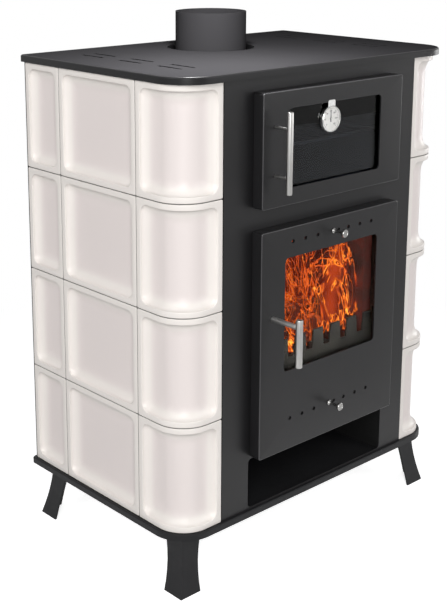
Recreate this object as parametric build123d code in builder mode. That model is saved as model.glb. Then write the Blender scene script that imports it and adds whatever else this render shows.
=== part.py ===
"""Tiled stove with an oven above the fire chamber and an open wood niche below.

Millimetres, +Z up. The front faces -Y. The origin lies on the floor, in the middle of the stove's
overall width and depth, so the feet stand at z = 0.
"""
from build123d import *
import math
import os

# ---- tiled body --------------------------------------------------------------------------------
body_width = 756.0            # over the tile faces
body_depth = 475.0            # from the front face to the back panel
corner_radius = 64.0          # tile face round the two front corners
course_height = 215.0
course_count = 4
tile_thickness = 24.0
tile_joint = 1.2              # open joint between neighbouring tiles
rear_tile_width = 114.0
middle_tile_width = 235.0
corner_tile_front = 105.0     # part of the corner tile that lies in the front
tile_rim = 12.0
recess_depth = 15.0
cove_width = 30.0             # hollow curve between the rim and the recessed field
cove_steps = 3
recess_corner_radius = 16.0
recess_corner_steps = 3       # straight steps round each corner of the recess
tile_seat = 0.3               # bedding gap between a tile and the sheet behind it

# ---- plates, legs and flue ---------------------------------------------------------------------
leg_height = 118.0
leg_thickness = 4.0
leg_flange = 50.0
leg_waist = 42.0
leg_splay = 20.0
leg_inset = 33.0              # from the base plate's edges to the leg's fold
leg_sections = 6
base_thickness = 13.0
base_overhang = 7.0
top_thickness = 14.0
top_side_overhang = 5.0
top_front_overhang = 15.0
top_rear_overhang = 9.0
plate_corner_radius = 72.0
rear_corner_radius = 8.0
plate_edge_radius = 3.5
flue_radius = 75.0
flue_wall = 2.5
flue_rise = 76.0              # above the top plate
flue_from_back = 145.0
flue_hole_radius = 93.0
flue_flange_radius = 88.0
flue_flange_thickness = 4.0
smoke_lid_drop = 12.0         # from the top plate's underside down to the lid of the smoke box
vent_slot_length = 68.0
vent_slot_width = 7.0
vent_slot_pitch = 118.0
vent_pair_spacing = 31.0
vent_pair_offset = 277.0
vent_middle_from_back = 233.0

# ---- sheet metal -------------------------------------------------------------------------------
casing_thickness = 1.5
casing_flange = 28.0
panel_thickness = 3.0
panel_gap = 1.2               # between the front panel and the tiles beside it
back_thickness = 2.0
back_slot_length = 90.0
back_slot_width = 8.0
back_slot_pitch = 26.0
back_slot_rows = 4
back_slot_columns = 4
back_slot_column_pitch = 140.0

# ---- doors, measured from the top of the base plate ----------------------------------------------
door_width = 400.0
door_proud = 28.0             # from the front panel to the door's face
door_gap = 3.0                # open gap behind the door shell
door_wall = 3.0
door_corner_radius = 5.0
door_edge_radius = 2.0
oven_door_low = 614.0
oven_door_high = 833.0
oven_window_low = 647.0
oven_window_high = 799.0
oven_window_width = 267.0
fire_door_low = 113.5
fire_door_high = 570.0
fire_window_low = 280.0
fire_window_high = 510.0
fire_window_width = 271.0
window_corner_radius = 9.0
cutout_margin = 18.0          # the panel's cut-outs are this much inside the door's edge, up and down
cutout_side_margin = 24.0
frame_width = 15.0            # channel that holds the rope seal
frame_wall = 2.0
frame_web_depth = 14.0        # channel floor, from the front panel
frame_rear_gap = 4.0
seal_clearance = 0.3
glass_setback = 7.0           # from the door's face to the glass
glass_thickness = 4.0
glass_overlap = 12.0
oven_band_height = 37.0       # inner strip that shows behind the top of the oven window
clip_length = 26.0
clip_bite = 8.0               # grip of a glass clip on the pane
clip_thickness = 1.5
clip_clearance = 0.3

# ---- hinges --------------------------------------------------------------------------------------
hinge_offset = 7.0            # from the door's edge and from the panel to the pin's axis
knuckle_radius = 6.0
knuckle_height = 22.0
knuckle_gap = 0.5
hinge_pin_radius = 3.0
hinge_running_fit = 0.05
hinge_leaf_reach = 26.0
hinge_leaf_thickness = 2.5
oven_hinge_inset = 34.0       # from the door's end to the middle of the hinge
fire_hinge_inset = 62.0

# ---- handles -------------------------------------------------------------------------------------
handle_from_edge = 32.0
oven_bar_radius = 6.0
oven_bar_low = 646.0
oven_bar_high = 800.0
oven_bar_reach = 36.0
oven_post_radius = 3.0
oven_post_low = 676.0
oven_post_high = 768.0
fire_bar_radius = 7.0
bar_end_chamfer = 1.0
fire_handle_level = 397.0
fire_bar_above = 16.0         # the bar's two ends, from the spindle
fire_bar_below = 78.0
fire_handle_reach = 69.0
spindle_radius = 5.0
running_fit = 0.05
latch_length = 14.0
latch_width = 9.0
latch_thickness = 4.0
latch_setback = 5.0           # behind the front panel's face
bush_radius = 9.0
bush_length = 10.0

# ---- air slides ----------------------------------------------------------------------------------
upper_air_level = 541.0
lower_air_level = 178.5
air_hole_radius = 4.0
air_hole_first = 45.0
air_hole_pitch = 35.0
air_slide_length = 276.0
air_slide_height = 16.0
air_slide_thickness = 2.0
air_slide_play = 0.3
air_travel = 16.0
guide_thickness = 2.0
guide_lip = 3.0
knob_stem_radius = 3.0
knob_stem_length = 20.0
knob_head_radius = 8.0
knob_head_length = 12.0
knob_edge_chamfer = 2.0

# ---- thermometer ---------------------------------------------------------------------------------
dial_offset = -16.0
dial_level = 766.0
case_radius = 26.0
case_depth = 9.0
case_wall = 1.5
case_back_gap = 0.5
dial_thickness = 3.0
lens_thickness = 1.5
tab_width = 20.0
tab_top = 803.0
tab_thickness = 1.2
needle_length = 17.0
needle_tail = 6.0
needle_tail_width = 2.4
needle_tip_width = 0.8
needle_thickness = 0.6
needle_hub_radius = 2.4
needle_post_radius = 1.0
needle_post_length = 2.0

# ---- fire chamber and oven -----------------------------------------------------------------------
chamber_wall = 3.0
chamber_clear = 8.0           # from the cut-out's edge out to the chamber's side wall
chamber_depth = 420.0
chamber_low = 122.0
hearth_level = 230.0
hearth_thickness = 4.0
ash_drop_width = 240.0
ash_drop_depth = 250.0
ash_drop_from_front = 70.0
grate_margin = 15.0
grate_thickness = 12.0
grate_slot_width = 9.0
grate_slot_pitch = 22.0
grate_slot_count = 11
brick_thickness = 25.0
brick_height = 346.0
brick_from_front = 25.0
brick_joint = 0.5
baffle_thickness = 8.0
baffle_from_front = 100.0
guard_thickness = 4.0
guard_setback = 6.0
guard_side_gap = 14.0         # from the chamber's side walls to the log guard
guard_height = 95.0
guard_notch_depth = 39.0
guard_notch_pitch = 52.0
guard_notch_count = 6
guard_notch_top = 24.0
guard_notch_foot = 18.0
pan_wall = 1.5
pan_side_gap = 19.0
pan_depth = 320.0
pan_height = 78.0
pan_from_front = 14.0
pan_grip_reach = 8.0
pan_grip_width = 110.0
oven_wall = 2.0
oven_depth = 320.0
oven_flange = 8.0             # above and below the cut-out
oven_side_flange = 5.0
oven_shelf_level = 715.0
shelf_wire_radius = 2.5
shelf_wire_count = 9
shelf_side_gap = 3.0
shelf_front_gap = 12.0
runner_size = 6.0
catch_depth = 14.0            # length of the catch along the tongue
catch_setback = 6.0           # behind the front panel's face
catch_level = 790.0
catch_width = 16.0
catch_plate = 2.0             # plate on the oven's side wall
catch_plate_height = 44.0
catch_roll_radius = 4.5
catch_play = 0.3              # between the tongue and each roll
tongue_width = 9.0
tongue_thickness = 4.0

# ---- wood niche ----------------------------------------------------------------------------------
niche_width = 404.0
niche_low = 4.0
niche_high = 108.0
niche_corner_radius = 9.0
niche_depth = 415.0
niche_wall = 2.0

# ---- worked out from the sizes above -------------------------------------------------------------
half_width = body_width / 2
z0 = leg_height + base_thickness                 # top of the base plate
body_height = course_height * course_count
z_top = z0 + body_height                         # underside of the top plate
front_reach = door_proud + fire_handle_reach + fire_bar_radius
overall_depth = front_reach + body_depth + top_rear_overhang
front_y = front_reach - overall_depth / 2        # front panel's face
rear_y = front_y + body_depth
corner_y = front_y + corner_radius
corner_x = -half_width + corner_radius
tile_back = tile_thickness + tile_seat
panel_half = half_width - corner_tile_front - panel_gap / 2
tile_front_end = -panel_half - panel_gap
tiles_rear = rear_y - back_thickness - tile_joint
door_half = door_width / 2
door_face = front_y - door_proud
door_inside = door_face + door_wall
door_rear = front_y - door_gap
cutout_half = door_half - cutout_side_margin
panel_back = front_y + panel_thickness
hinge_x = door_half + hinge_offset
hinge_y = front_y - hinge_offset
handle_x = -door_half + handle_from_edge
flue_y = rear_y - flue_from_back
chamber_half = cutout_half + chamber_clear
chamber_back = panel_back + chamber_depth
chamber_top = z_top - smoke_lid_drop
glass_front = door_face + glass_setback
hearth_top = z0 + hearth_level + hearth_thickness

os.makedirs("parts", exist_ok=True)


def save(piece, name):
    """Label a finished piece and write it under its node's name."""
    piece.part.label = name
    export_step(piece.part, f"parts/{name}.step")


def facing_front(y):
    """Plane parallel to the front: local x is world x, local y is world z, the normal looks out."""
    return Plane(origin=(0, y, 0), x_dir=(1, 0, 0), z_dir=(0, -1, 0))


def cove_points():
    """Run and drop of each step of the hollow curve, steep at the rim and level at the recessed field."""
    angles = [math.pi / 2 * i / cove_steps for i in range(cove_steps + 1)]
    return [(cove_width * (1 - math.cos(a)), recess_depth * math.sin(a)) for a in angles]


# ---- plates ----------------------------------------------------------------------------------------
def plate_sketch(side, front, rear):
    """Plan of a plate that overhangs the tiled body, with large front and small rear corners."""
    width = body_width + 2 * side
    depth = body_depth + front + rear
    with BuildSketch() as plan:
        with Locations((0, front_y - front + depth / 2)):
            Rectangle(width, depth)
        fillet(plan.vertices().group_by(Axis.Y)[0], plate_corner_radius)
        fillet(plan.vertices().group_by(Axis.Y)[-1], rear_corner_radius)
    return plan.sketch


with BuildPart() as base_plate:
    with BuildSketch(Plane.XY.offset(leg_height)):
        add(plate_sketch(base_overhang, base_overhang, base_overhang))
    extrude(amount=base_thickness)
    chamfer(base_plate.faces().sort_by(Axis.Z)[-1].edges(), plate_edge_radius / 2)
save(base_plate, "base_plate")

with BuildPart() as top_plate:
    with BuildSketch(Plane.XY.offset(z_top)):
        add(plate_sketch(top_side_overhang, top_front_overhang, top_rear_overhang))
    extrude(amount=top_thickness)
    fillet(top_plate.faces().sort_by(Axis.Z)[-1].edges(), plate_edge_radius)
    with BuildSketch(Plane.XY.offset(z_top)):
        with Locations((0, flue_y)):
            Circle(flue_hole_radius)
        for side in (-1, 1):
            with Locations((side * vent_pair_offset, rear_y - vent_middle_from_back)):
                with GridLocations(vent_pair_spacing, vent_slot_pitch, 2, 3):
                    Rectangle(vent_slot_width, vent_slot_length)
    extrude(amount=top_thickness, mode=Mode.SUBTRACT)
save(top_plate, "top_plate")


# ---- legs ------------------------------------------------------------------------------------------
def make_leg(side, end):
    """Angle-section leg, drawn in at the waist and splayed outwards at the foot."""
    fold_x = half_width + base_overhang - leg_inset
    fold_y = (front_y - base_overhang + leg_inset) if end < 0 else (rear_y + base_overhang - leg_inset)
    with BuildPart() as leg:
        for i in range(leg_sections + 1):
            share = i / leg_sections
            spread = leg_splay * (1 - share) ** 1.7
            flange = leg_waist + (leg_flange - leg_waist) * (2 * share - 1) ** 2
            x = side * (fold_x + spread)
            y = fold_y + end * spread
            with BuildSketch(Plane.XY.offset(leg_height * share)):
                with BuildLine():
                    Polyline(
                        (x, y),
                        (x - side * flange, y),
                        (x - side * flange, y - end * leg_thickness),
                        (x - side * leg_thickness, y - end * leg_thickness),
                        (x - side * leg_thickness, y - end * flange),
                        (x, y - end * flange),
                        close=True,
                    )
                make_face()
        loft(ruled=True)
    return leg


for side, side_name in ((-1, "left"), (1, "right")):
    for end, end_name in ((-1, "front"), (1, "rear")):
        save(make_leg(side, end), f"leg_{end_name}_{side_name}")


# ---- sheet casing ----------------------------------------------------------------------------------
def corner_strip(inset, thickness, rear_end, front_end):
    """Plan outline of a strip that follows the left front corner at a distance inside the tile face."""
    outer = corner_radius - inset
    inner = outer - thickness
    with BuildLine() as outline:
        Line((-half_width + inset, rear_end), (-half_width + inset, corner_y))
        CenterArc((corner_x, corner_y), outer, 180, 90)
        Line((corner_x, corner_y - outer), (front_end, corner_y - outer))
        Line((front_end, corner_y - outer), (front_end, corner_y - inner))
        Line((front_end, corner_y - inner), (corner_x, corner_y - inner))
        CenterArc((corner_x, corner_y), inner, 270, -90)
        Line((corner_x - inner, corner_y), (corner_x - inner, rear_end))
        Line((corner_x - inner, rear_end), (-half_width + inset, rear_end))
    return outline.line


casing_rear = rear_y - back_thickness
with BuildPart() as casing_left:
    with BuildSketch(Plane.XY.offset(z0)):
        add(corner_strip(tile_back, casing_thickness, casing_rear, -panel_half + casing_flange))
        make_face()
        with Locations((-half_width + tile_back, casing_rear)):
            Rectangle(casing_flange, casing_thickness, align=(Align.MIN, Align.MAX))
    extrude(amount=body_height)
save(casing_left, "casing_left")

with BuildPart() as casing_right:
    mirror(casing_left.part, about=Plane.YZ)
save(casing_right, "casing_right")

with BuildPart() as back_panel:
    with BuildSketch(facing_front(rear_y)) as back_outline:
        with Locations((0, z0 + body_height / 2)):
            Rectangle(body_width - 2 * tile_joint, body_height)
            with Locations((0, body_height / 4), (0, -body_height / 3)):
                with GridLocations(
                    back_slot_column_pitch, back_slot_pitch, back_slot_columns, back_slot_rows
                ):
                    Rectangle(back_slot_length, back_slot_width, mode=Mode.SUBTRACT)
    extrude(amount=back_thickness)
save(back_panel, "back_panel")


# ---- front panel -----------------------------------------------------------------------------------
def cutout(low, high, width, radius=0):
    """Opening in the front, between two heights above the base plate, with corners of a radius."""
    with Locations((0, z0 + (low + high) / 2)):
        if radius > 0:
            RectangleRounded(width, high - low, radius)
        else:
            Rectangle(width, high - low)


oven_cut_low = oven_door_low + cutout_margin
oven_cut_high = oven_door_high - cutout_margin
fire_cut_low = fire_door_low + cutout_margin
fire_cut_high = fire_door_high - cutout_margin

with BuildPart() as front_panel:
    with BuildSketch(facing_front(front_y)):
        with Locations((0, z0 + body_height / 2)):
            Rectangle(2 * panel_half, body_height)
    extrude(amount=-tile_back)
    with BuildSketch(facing_front(panel_back)):
        with Locations((0, z0 + body_height / 2)):
            Rectangle(2 * (panel_half - panel_thickness), body_height)
    extrude(amount=-tile_back, mode=Mode.SUBTRACT)
    with BuildSketch(facing_front(front_y)):
        cutout(oven_cut_low, oven_cut_high, 2 * cutout_half)
        cutout(fire_cut_low, fire_cut_high, 2 * cutout_half)
        cutout(niche_low, niche_high, niche_width, niche_corner_radius)
    extrude(amount=-panel_thickness, mode=Mode.SUBTRACT)
save(front_panel, "front_panel")


# ---- tiles -----------------------------------------------------------------------------------------
def recess_outline(width, height, radius):
    """Points round a rectangle whose corners turn in a few straight steps."""
    points = []
    for quarter, (x_side, y_side) in enumerate(((1, 1), (-1, 1), (-1, -1), (1, -1))):
        for step in range(recess_corner_steps + 1):
            angle = math.pi / 2 * (quarter + step / recess_corner_steps)
            x = x_side * (width / 2 - radius) + radius * math.cos(angle)
            y = y_side * (height / 2 - radius) + radius * math.sin(angle)
            points.append((x, y))
    return points


def flat_tile(middle_y, width, low):
    """Glazed tile of the left side: a slab with a raised rim and a coved, recessed field."""
    height = course_height - tile_joint
    face = Plane(
        origin=(-half_width, middle_y, low + height / 2), x_dir=(0, -1, 0), z_dir=(-1, 0, 0)
    )
    with BuildPart() as tile:
        with BuildSketch(face):
            Rectangle(width - tile_joint, height)
        extrude(amount=-tile_thickness)
        for run, drop in cove_points():
            with BuildSketch(face.offset(-drop)):
                outline = recess_outline(
                    width - tile_joint - 2 * (tile_rim + run),
                    height - 2 * (tile_rim + run),
                    recess_corner_radius - run / 2.5,
                )
                Polygon(*outline, align=None)
        loft(ruled=True, mode=Mode.SUBTRACT)
    return tile


def corner_recess(low, high, side_end, front_end):
    """Coved hollow that follows the face of the left corner tile."""
    with BuildPart() as hollow:
        with BuildLine(Plane.XY.offset(low)) as track:
            Line((-half_width, side_end), (-half_width, corner_y))
            CenterArc((corner_x, corner_y), corner_radius, 180, 90)
            Line((corner_x, front_y), (front_end, front_y))
        start = Plane(origin=(-half_width, side_end, low), x_dir=(-1, 0, 0), z_dir=(0, 1, 0))
        rise = high - low
        curve = [(-drop, run) for run, drop in cove_points()]
        with BuildSketch(start):
            with BuildLine():
                Polyline(
                    (tile_rim, 0),
                    *curve,
                    *[(x, rise - y) for x, y in reversed(curve)],
                    (tile_rim, rise),
                    close=True,
                )
            make_face()
        sweep(path=track.line)
        with BuildSketch(Plane.XY.offset(low)):
            with BuildLine():
                side_curve = [(-half_width + drop, side_end - run) for run, drop in cove_points()]
                front_curve = [(front_end - run, front_y + drop) for run, drop in cove_points()]
                outer = corner_radius + tile_rim
                inner = corner_radius - recess_depth
                Polyline((corner_x - outer, corner_y), (corner_x - outer, side_end), *side_curve)
                Line(side_curve[-1], (corner_x - inner, corner_y))
                CenterArc((corner_x, corner_y), inner, 180, 90)
                Line((corner_x, corner_y - inner), front_curve[-1])
                Polyline(
                    *reversed(front_curve), (front_end, corner_y - outer), (corner_x, corner_y - outer)
                )
                CenterArc((corner_x, corner_y), outer, 270, -90)
            make_face()
        extrude(amount=rise, mode=Mode.INTERSECT)
    return hollow


def corner_tile(low):
    """Glazed tile that wraps round the left front corner."""
    height = course_height - tile_joint
    side_end = tiles_rear - rear_tile_width - middle_tile_width
    with BuildPart() as tile:
        with BuildSketch(Plane.XY.offset(low)):
            add(corner_strip(0, tile_thickness, side_end, tile_front_end))
            make_face()
        extrude(amount=height)
        add(
            corner_recess(
                low + tile_rim, low + height - tile_rim, side_end - tile_rim, tile_front_end - tile_rim
            ).part,
            mode=Mode.SUBTRACT,
        )
    return tile


def mirrored(piece):
    """The same piece for the right side."""
    with BuildPart() as other:
        mirror(piece.part, about=Plane.YZ)
    return other


course_lows = [z0 + course_height * i for i in range(course_count)]
rear_tile_middle = tiles_rear - (rear_tile_width - tile_joint) / 2
middle_tile_middle = tiles_rear - rear_tile_width - (middle_tile_width - tile_joint) / 2

with BuildPart() as rear_tiles_left:
    for low in course_lows:
        add(flat_tile(rear_tile_middle, rear_tile_width, low).part)
save(rear_tiles_left, "rear_tiles_left")
save(mirrored(rear_tiles_left), "rear_tiles_right")

for course, low in enumerate(course_lows, start=1):
    middle = flat_tile(middle_tile_middle, middle_tile_width, low)
    corner = corner_tile(low)
    save(middle, f"middle_tile_left_{course}")
    save(mirrored(middle), f"middle_tile_right_{course}")
    save(corner, f"corner_tile_left_{course}")
    save(mirrored(corner), f"corner_tile_right_{course}")


# ---- flue collar -----------------------------------------------------------------------------------
collar_top = z_top + top_thickness + flue_rise
with BuildPart() as flue_collar:
    with BuildSketch(Plane.XY.offset(chamber_top)):
        with Locations((0, flue_y)):
            Circle(flue_flange_radius)
            Circle(flue_radius - flue_wall, mode=Mode.SUBTRACT)
    extrude(amount=flue_flange_thickness)
    with BuildSketch(Plane.XY.offset(chamber_top)):
        with Locations((0, flue_y)):
            Circle(flue_radius)
            Circle(flue_radius - flue_wall, mode=Mode.SUBTRACT)
    extrude(amount=collar_top - chamber_top)
save(flue_collar, "flue_collar")


# ---- fire chamber ----------------------------------------------------------------------------------
with BuildPart() as fire_chamber:
    chamber_middle = (z0 + chamber_low + chamber_top) / 2
    with Locations((0, (panel_back + chamber_back) / 2, chamber_middle)):
        Box(
            2 * (chamber_half + chamber_wall),
            chamber_back - panel_back,
            chamber_top - z0 - chamber_low,
        )
    with Locations((0, (panel_back + chamber_back - chamber_wall) / 2, chamber_middle)):
        Box(
            2 * chamber_half,
            chamber_back - panel_back - chamber_wall,
            chamber_top - z0 - chamber_low - 2 * chamber_wall,
            mode=Mode.SUBTRACT,
        )
    with Locations((0, (panel_back + chamber_back) / 2, hearth_top - hearth_thickness / 2)):
        Box(2 * chamber_half, chamber_back - panel_back, hearth_thickness)
    with Locations((0, front_y + ash_drop_from_front + ash_drop_depth / 2, hearth_top)):
        Box(ash_drop_width, ash_drop_depth, 3 * hearth_thickness, mode=Mode.SUBTRACT)
    with Locations((0, flue_y, chamber_top)):
        Cylinder(flue_radius - flue_wall, 3 * chamber_wall, mode=Mode.SUBTRACT)
save(fire_chamber, "fire_chamber")

brick_back = chamber_back - chamber_wall
with BuildPart() as firebrick_lining:
    for side in (-1, 1):
        with Locations((side * chamber_half, front_y + brick_from_front, hearth_top)):
            Box(
                brick_thickness,
                brick_back - front_y - brick_from_front,
                brick_height,
                align=(Align.MIN if side < 0 else Align.MAX, Align.MIN, Align.MIN),
            )
    with Locations((0, brick_back, hearth_top)):
        Box(
            2 * (chamber_half - brick_thickness - brick_joint),
            brick_thickness,
            brick_height,
            align=(Align.CENTER, Align.MAX, Align.MIN),
        )
save(firebrick_lining, "firebrick_lining")

with BuildPart() as grate:
    grate_y = front_y + ash_drop_from_front + ash_drop_depth / 2
    with BuildSketch(Plane.XY.offset(hearth_top)):
        with Locations((0, grate_y)):
            RectangleRounded(
                ash_drop_width + 2 * grate_margin, ash_drop_depth + 2 * grate_margin, grate_margin / 2
            )
            with GridLocations(grate_slot_pitch, 0, grate_slot_count, 1):
                Rectangle(grate_slot_width, ash_drop_depth - grate_margin, mode=Mode.SUBTRACT)
    extrude(amount=grate_thickness)
save(grate, "grate")

with BuildPart() as baffle_plate:
    with Locations((0, front_y + baffle_from_front, hearth_top + brick_height)):
        Box(
            2 * chamber_half - brick_thickness,
            brick_back - front_y - baffle_from_front,
            baffle_thickness,
            align=(Align.CENTER, Align.MIN, Align.MIN),
        )
save(baffle_plate, "baffle_plate")

with BuildPart() as log_guard:
    with BuildSketch(facing_front(front_y + guard_setback)):
        with Locations((0, hearth_top + guard_height / 2)):
            Rectangle(2 * (chamber_half - guard_side_gap), guard_height)
        with Locations((0, hearth_top + guard_height - guard_notch_depth)):
            with GridLocations(guard_notch_pitch, 0, guard_notch_count, 1):
                Polygon(
                    (-guard_notch_foot / 2, 0),
                    (guard_notch_foot / 2, 0),
                    (guard_notch_top / 2, guard_notch_depth),
                    (-guard_notch_top / 2, guard_notch_depth),
                    align=None,
                    mode=Mode.SUBTRACT,
                )
    extrude(amount=-guard_thickness)
save(log_guard, "log_guard")

with BuildPart() as ash_pan:
    pan_floor = z0 + chamber_low + chamber_wall
    with BuildSketch(Plane.XY.offset(pan_floor)):
        with Locations((0, front_y + pan_from_front + pan_depth / 2)):
            RectangleRounded(2 * (chamber_half - pan_side_gap), pan_depth, pan_grip_reach)
    extrude(amount=pan_height)
    offset(
        amount=-pan_wall,
        openings=ash_pan.faces().sort_by(Axis.Z)[-1],
        kind=Kind.INTERSECTION,
    )
    with Locations((0, front_y + pan_from_front, pan_floor + pan_height)):
        Box(
            pan_grip_width,
            pan_grip_reach,
            pan_wall,
            align=(Align.CENTER, Align.MAX, Align.MAX),
        )
save(ash_pan, "ash_pan")

# ---- oven ------------------------------------------------------------------------------------------
oven_low = z0 + oven_cut_low
oven_high = z0 + oven_cut_high
oven_back = panel_back + oven_wall + oven_depth
shelf_bottom = z0 + oven_shelf_level
catch_x = -cutout_half + catch_width / 2 + catch_plate / 2

with BuildPart() as oven_box:
    with BuildSketch(facing_front(panel_back)):
        with Locations((0, (oven_low + oven_high) / 2)):
            Rectangle(2 * (cutout_half + oven_wall), oven_high - oven_low + 2 * oven_wall)
    extrude(amount=-(oven_back - panel_back))
    with BuildSketch(facing_front(panel_back)):
        with Locations((0, (oven_low + oven_high) / 2)):
            Rectangle(2 * (cutout_half + oven_side_flange), oven_high - oven_low + 2 * oven_flange)
    extrude(amount=-oven_wall)
    with BuildSketch(facing_front(panel_back)):
        with Locations((0, (oven_low + oven_high) / 2)):
            Rectangle(2 * cutout_half, oven_high - oven_low)
    extrude(amount=-(oven_back - oven_wall - panel_back), mode=Mode.SUBTRACT)
    for side in (-1, 1):
        with Locations((side * cutout_half, panel_back + shelf_front_gap, shelf_bottom)):
            Box(
                runner_size,
                oven_depth - 2 * shelf_front_gap,
                oven_wall,
                align=(Align.MIN if side < 0 else Align.MAX, Align.MIN, Align.MAX),
            )
save(oven_box, "oven_box")

shelf_half = cutout_half - shelf_side_gap
shelf_length = oven_depth - 2 * shelf_front_gap
with BuildPart() as oven_shelf:
    wire_level = shelf_bottom + shelf_wire_radius
    shelf_front = panel_back + shelf_front_gap
    with Locations((0, shelf_front + shelf_length / 2, wire_level)):
        Box(2 * shelf_half, shelf_length, 2 * shelf_wire_radius)
        Box(
            2 * (shelf_half - 2 * shelf_wire_radius),
            shelf_length - 4 * shelf_wire_radius,
            2 * shelf_wire_radius,
            mode=Mode.SUBTRACT,
        )
        with GridLocations(2 * shelf_half / (shelf_wire_count + 1), 0, shelf_wire_count, 1):
            Cylinder(shelf_wire_radius, shelf_length - 2 * shelf_wire_radius, rotation=(90, 0, 0))
save(oven_shelf, "oven_shelf")

with BuildPart() as oven_catch:
    catch_wall = -cutout_half + tile_seat
    catch_middle = front_y + catch_setback + catch_depth / 2
    with Locations((catch_wall, catch_middle, z0 + catch_level)):
        Box(
            catch_plate,
            catch_depth,
            catch_plate_height,
            align=(Align.MIN, Align.CENTER, Align.CENTER),
        )
    roll_rise = tongue_thickness / 2 + catch_play + catch_roll_radius
    with Locations(
        (catch_wall, catch_middle, z0 + catch_level - roll_rise),
        (catch_wall, catch_middle, z0 + catch_level + roll_rise),
    ):
        Cylinder(
            catch_roll_radius,
            catch_width,
            rotation=(0, 90, 0),
            align=(Align.CENTER, Align.CENTER, Align.MIN),
        )
save(oven_catch, "oven_catch")

# ---- wood niche ------------------------------------------------------------------------------------
with BuildPart() as niche_liner:
    with BuildSketch(facing_front(panel_back)):
        with Locations((0, z0)):
            Rectangle(
                niche_width + 2 * niche_wall,
                niche_high + niche_wall,
                align=(Align.CENTER, Align.MIN),
            )
    extrude(amount=-niche_depth)
    with BuildSketch(facing_front(panel_back)):
        with Locations((0, z0)):
            Rectangle(niche_width, niche_high, align=(Align.CENTER, Align.MIN))
    extrude(amount=-(niche_depth - niche_wall), mode=Mode.SUBTRACT)
save(niche_liner, "niche_liner")

# ---- hinges ----------------------------------------------------------------------------------------
hinge_levels = [
    z0 + oven_door_low + oven_hinge_inset,
    z0 + oven_door_high - oven_hinge_inset,
    z0 + fire_door_low + fire_hinge_inset,
    z0 + fire_door_high - fire_hinge_inset,
]

with BuildPart() as door_hinges:
    for level in hinge_levels:
        with BuildSketch(Plane.XY.offset(level - knuckle_height)):
            with Locations((hinge_x, hinge_y)):
                Circle(knuckle_radius)
            with Locations((hinge_x, front_y)):
                Rectangle(knuckle_radius, hinge_offset, align=(Align.MIN, Align.MAX))
                Rectangle(hinge_leaf_reach, hinge_leaf_thickness, align=(Align.MIN, Align.MAX))
        extrude(amount=knuckle_height)
        with Locations((hinge_x, hinge_y, level)):
            Cylinder(
                hinge_pin_radius,
                knuckle_height + 2 * knuckle_gap,
                align=(Align.CENTER, Align.CENTER, Align.MIN),
            )
save(door_hinges, "door_hinges")


# ---- doors -----------------------------------------------------------------------------------------
def ring(outer_width, outer_height, width, middle):
    """Flat rectangular ring in the active sketch, centred at a height."""
    with Locations((0, middle)):
        Rectangle(outer_width, outer_height)
        Rectangle(outer_width - 2 * width, outer_height - 2 * width, mode=Mode.SUBTRACT)


def door_shell(low, high, window_low, window_high, window_width, levels):
    """Pan-shaped door with a window and the upper knuckles of its hinges."""
    middle = z0 + (low + high) / 2
    height = high - low
    with BuildPart() as shell:
        with BuildSketch(facing_front(door_rear)):
            with Locations((0, middle)):
                RectangleRounded(door_width, height, door_corner_radius)
        extrude(amount=door_rear - door_face)
        fillet(shell.faces().sort_by(Axis.Y)[0].outer_wire().edges(), door_edge_radius)
        with BuildSketch(facing_front(door_rear)):
            with Locations((0, middle)):
                RectangleRounded(
                    door_width - 2 * door_wall, height - 2 * door_wall, door_corner_radius - door_wall
                )
        extrude(amount=door_rear - door_inside, mode=Mode.SUBTRACT)
        with BuildSketch(facing_front(door_face)):
            cutout(window_low, window_high, window_width, window_corner_radius)
        extrude(amount=-door_wall, mode=Mode.SUBTRACT)
        for level in levels:
            with BuildSketch(Plane.XY.offset(level + knuckle_gap)):
                with Locations((hinge_x, hinge_y)):
                    Circle(knuckle_radius)
                with Locations((door_half, hinge_y)):
                    Rectangle(hinge_offset, knuckle_radius, align=(Align.MIN, Align.MAX))
                with Locations((hinge_x, hinge_y)):
                    Circle(hinge_pin_radius + hinge_running_fit, mode=Mode.SUBTRACT)
            extrude(amount=knuckle_height)
    return shell


def door_frame(low, high):
    """Channel round the inside of a door, open to the rear, that holds the rope seal."""
    middle = z0 + (low + high) / 2
    outer_width = door_width - 2 * door_wall
    outer_height = high - low - 2 * door_wall
    with BuildPart() as frame:
        with BuildSketch(facing_front(door_inside)):
            with Locations((0, middle)):
                RectangleRounded(outer_width, outer_height, door_corner_radius - door_wall)
                Rectangle(
                    outer_width - 2 * frame_width, outer_height - 2 * frame_width, mode=Mode.SUBTRACT
                )
        extrude(amount=-(front_y - frame_rear_gap - door_inside))
        hollow = frame_width - 2 * frame_wall
        web_rear = front_y - frame_web_depth + frame_wall
        for near, far in (
            (door_inside, front_y - frame_web_depth),
            (web_rear, front_y - frame_rear_gap),
        ):
            with BuildSketch(facing_front(near)):
                ring(outer_width - 2 * frame_wall, outer_height - 2 * frame_wall, hollow, middle)
            extrude(amount=near - far, mode=Mode.SUBTRACT)
    return frame


def door_seal(low, high):
    """Rope seal that fills the frame's channel and stands out towards the front panel."""
    middle = z0 + (low + high) / 2
    outer_width = door_width - 2 * door_wall - 2 * frame_wall
    outer_height = high - low - 2 * door_wall - 2 * frame_wall
    web_rear = front_y - frame_web_depth + frame_wall
    with BuildPart() as seal:
        with BuildSketch(facing_front(web_rear)):
            ring(outer_width, outer_height, frame_width - 2 * frame_wall, middle)
        extrude(amount=-(front_y - seal_clearance - web_rear))
        rear_face = seal.faces().sort_by(Axis.Y)[-1]
        chamfer(rear_face.edges(), frame_wall)
    return seal


def pane(low, high, width):
    """Ceramic glass pane behind a door's window."""
    with BuildPart() as glass:
        with BuildSketch(facing_front(glass_front)):
            with Locations((0, z0 + (low + high) / 2)):
                Rectangle(width + 2 * glass_overlap, high - low + 2 * glass_overlap)
        extrude(amount=-glass_thickness)
    return glass


glass_back = glass_front + glass_thickness

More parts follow.
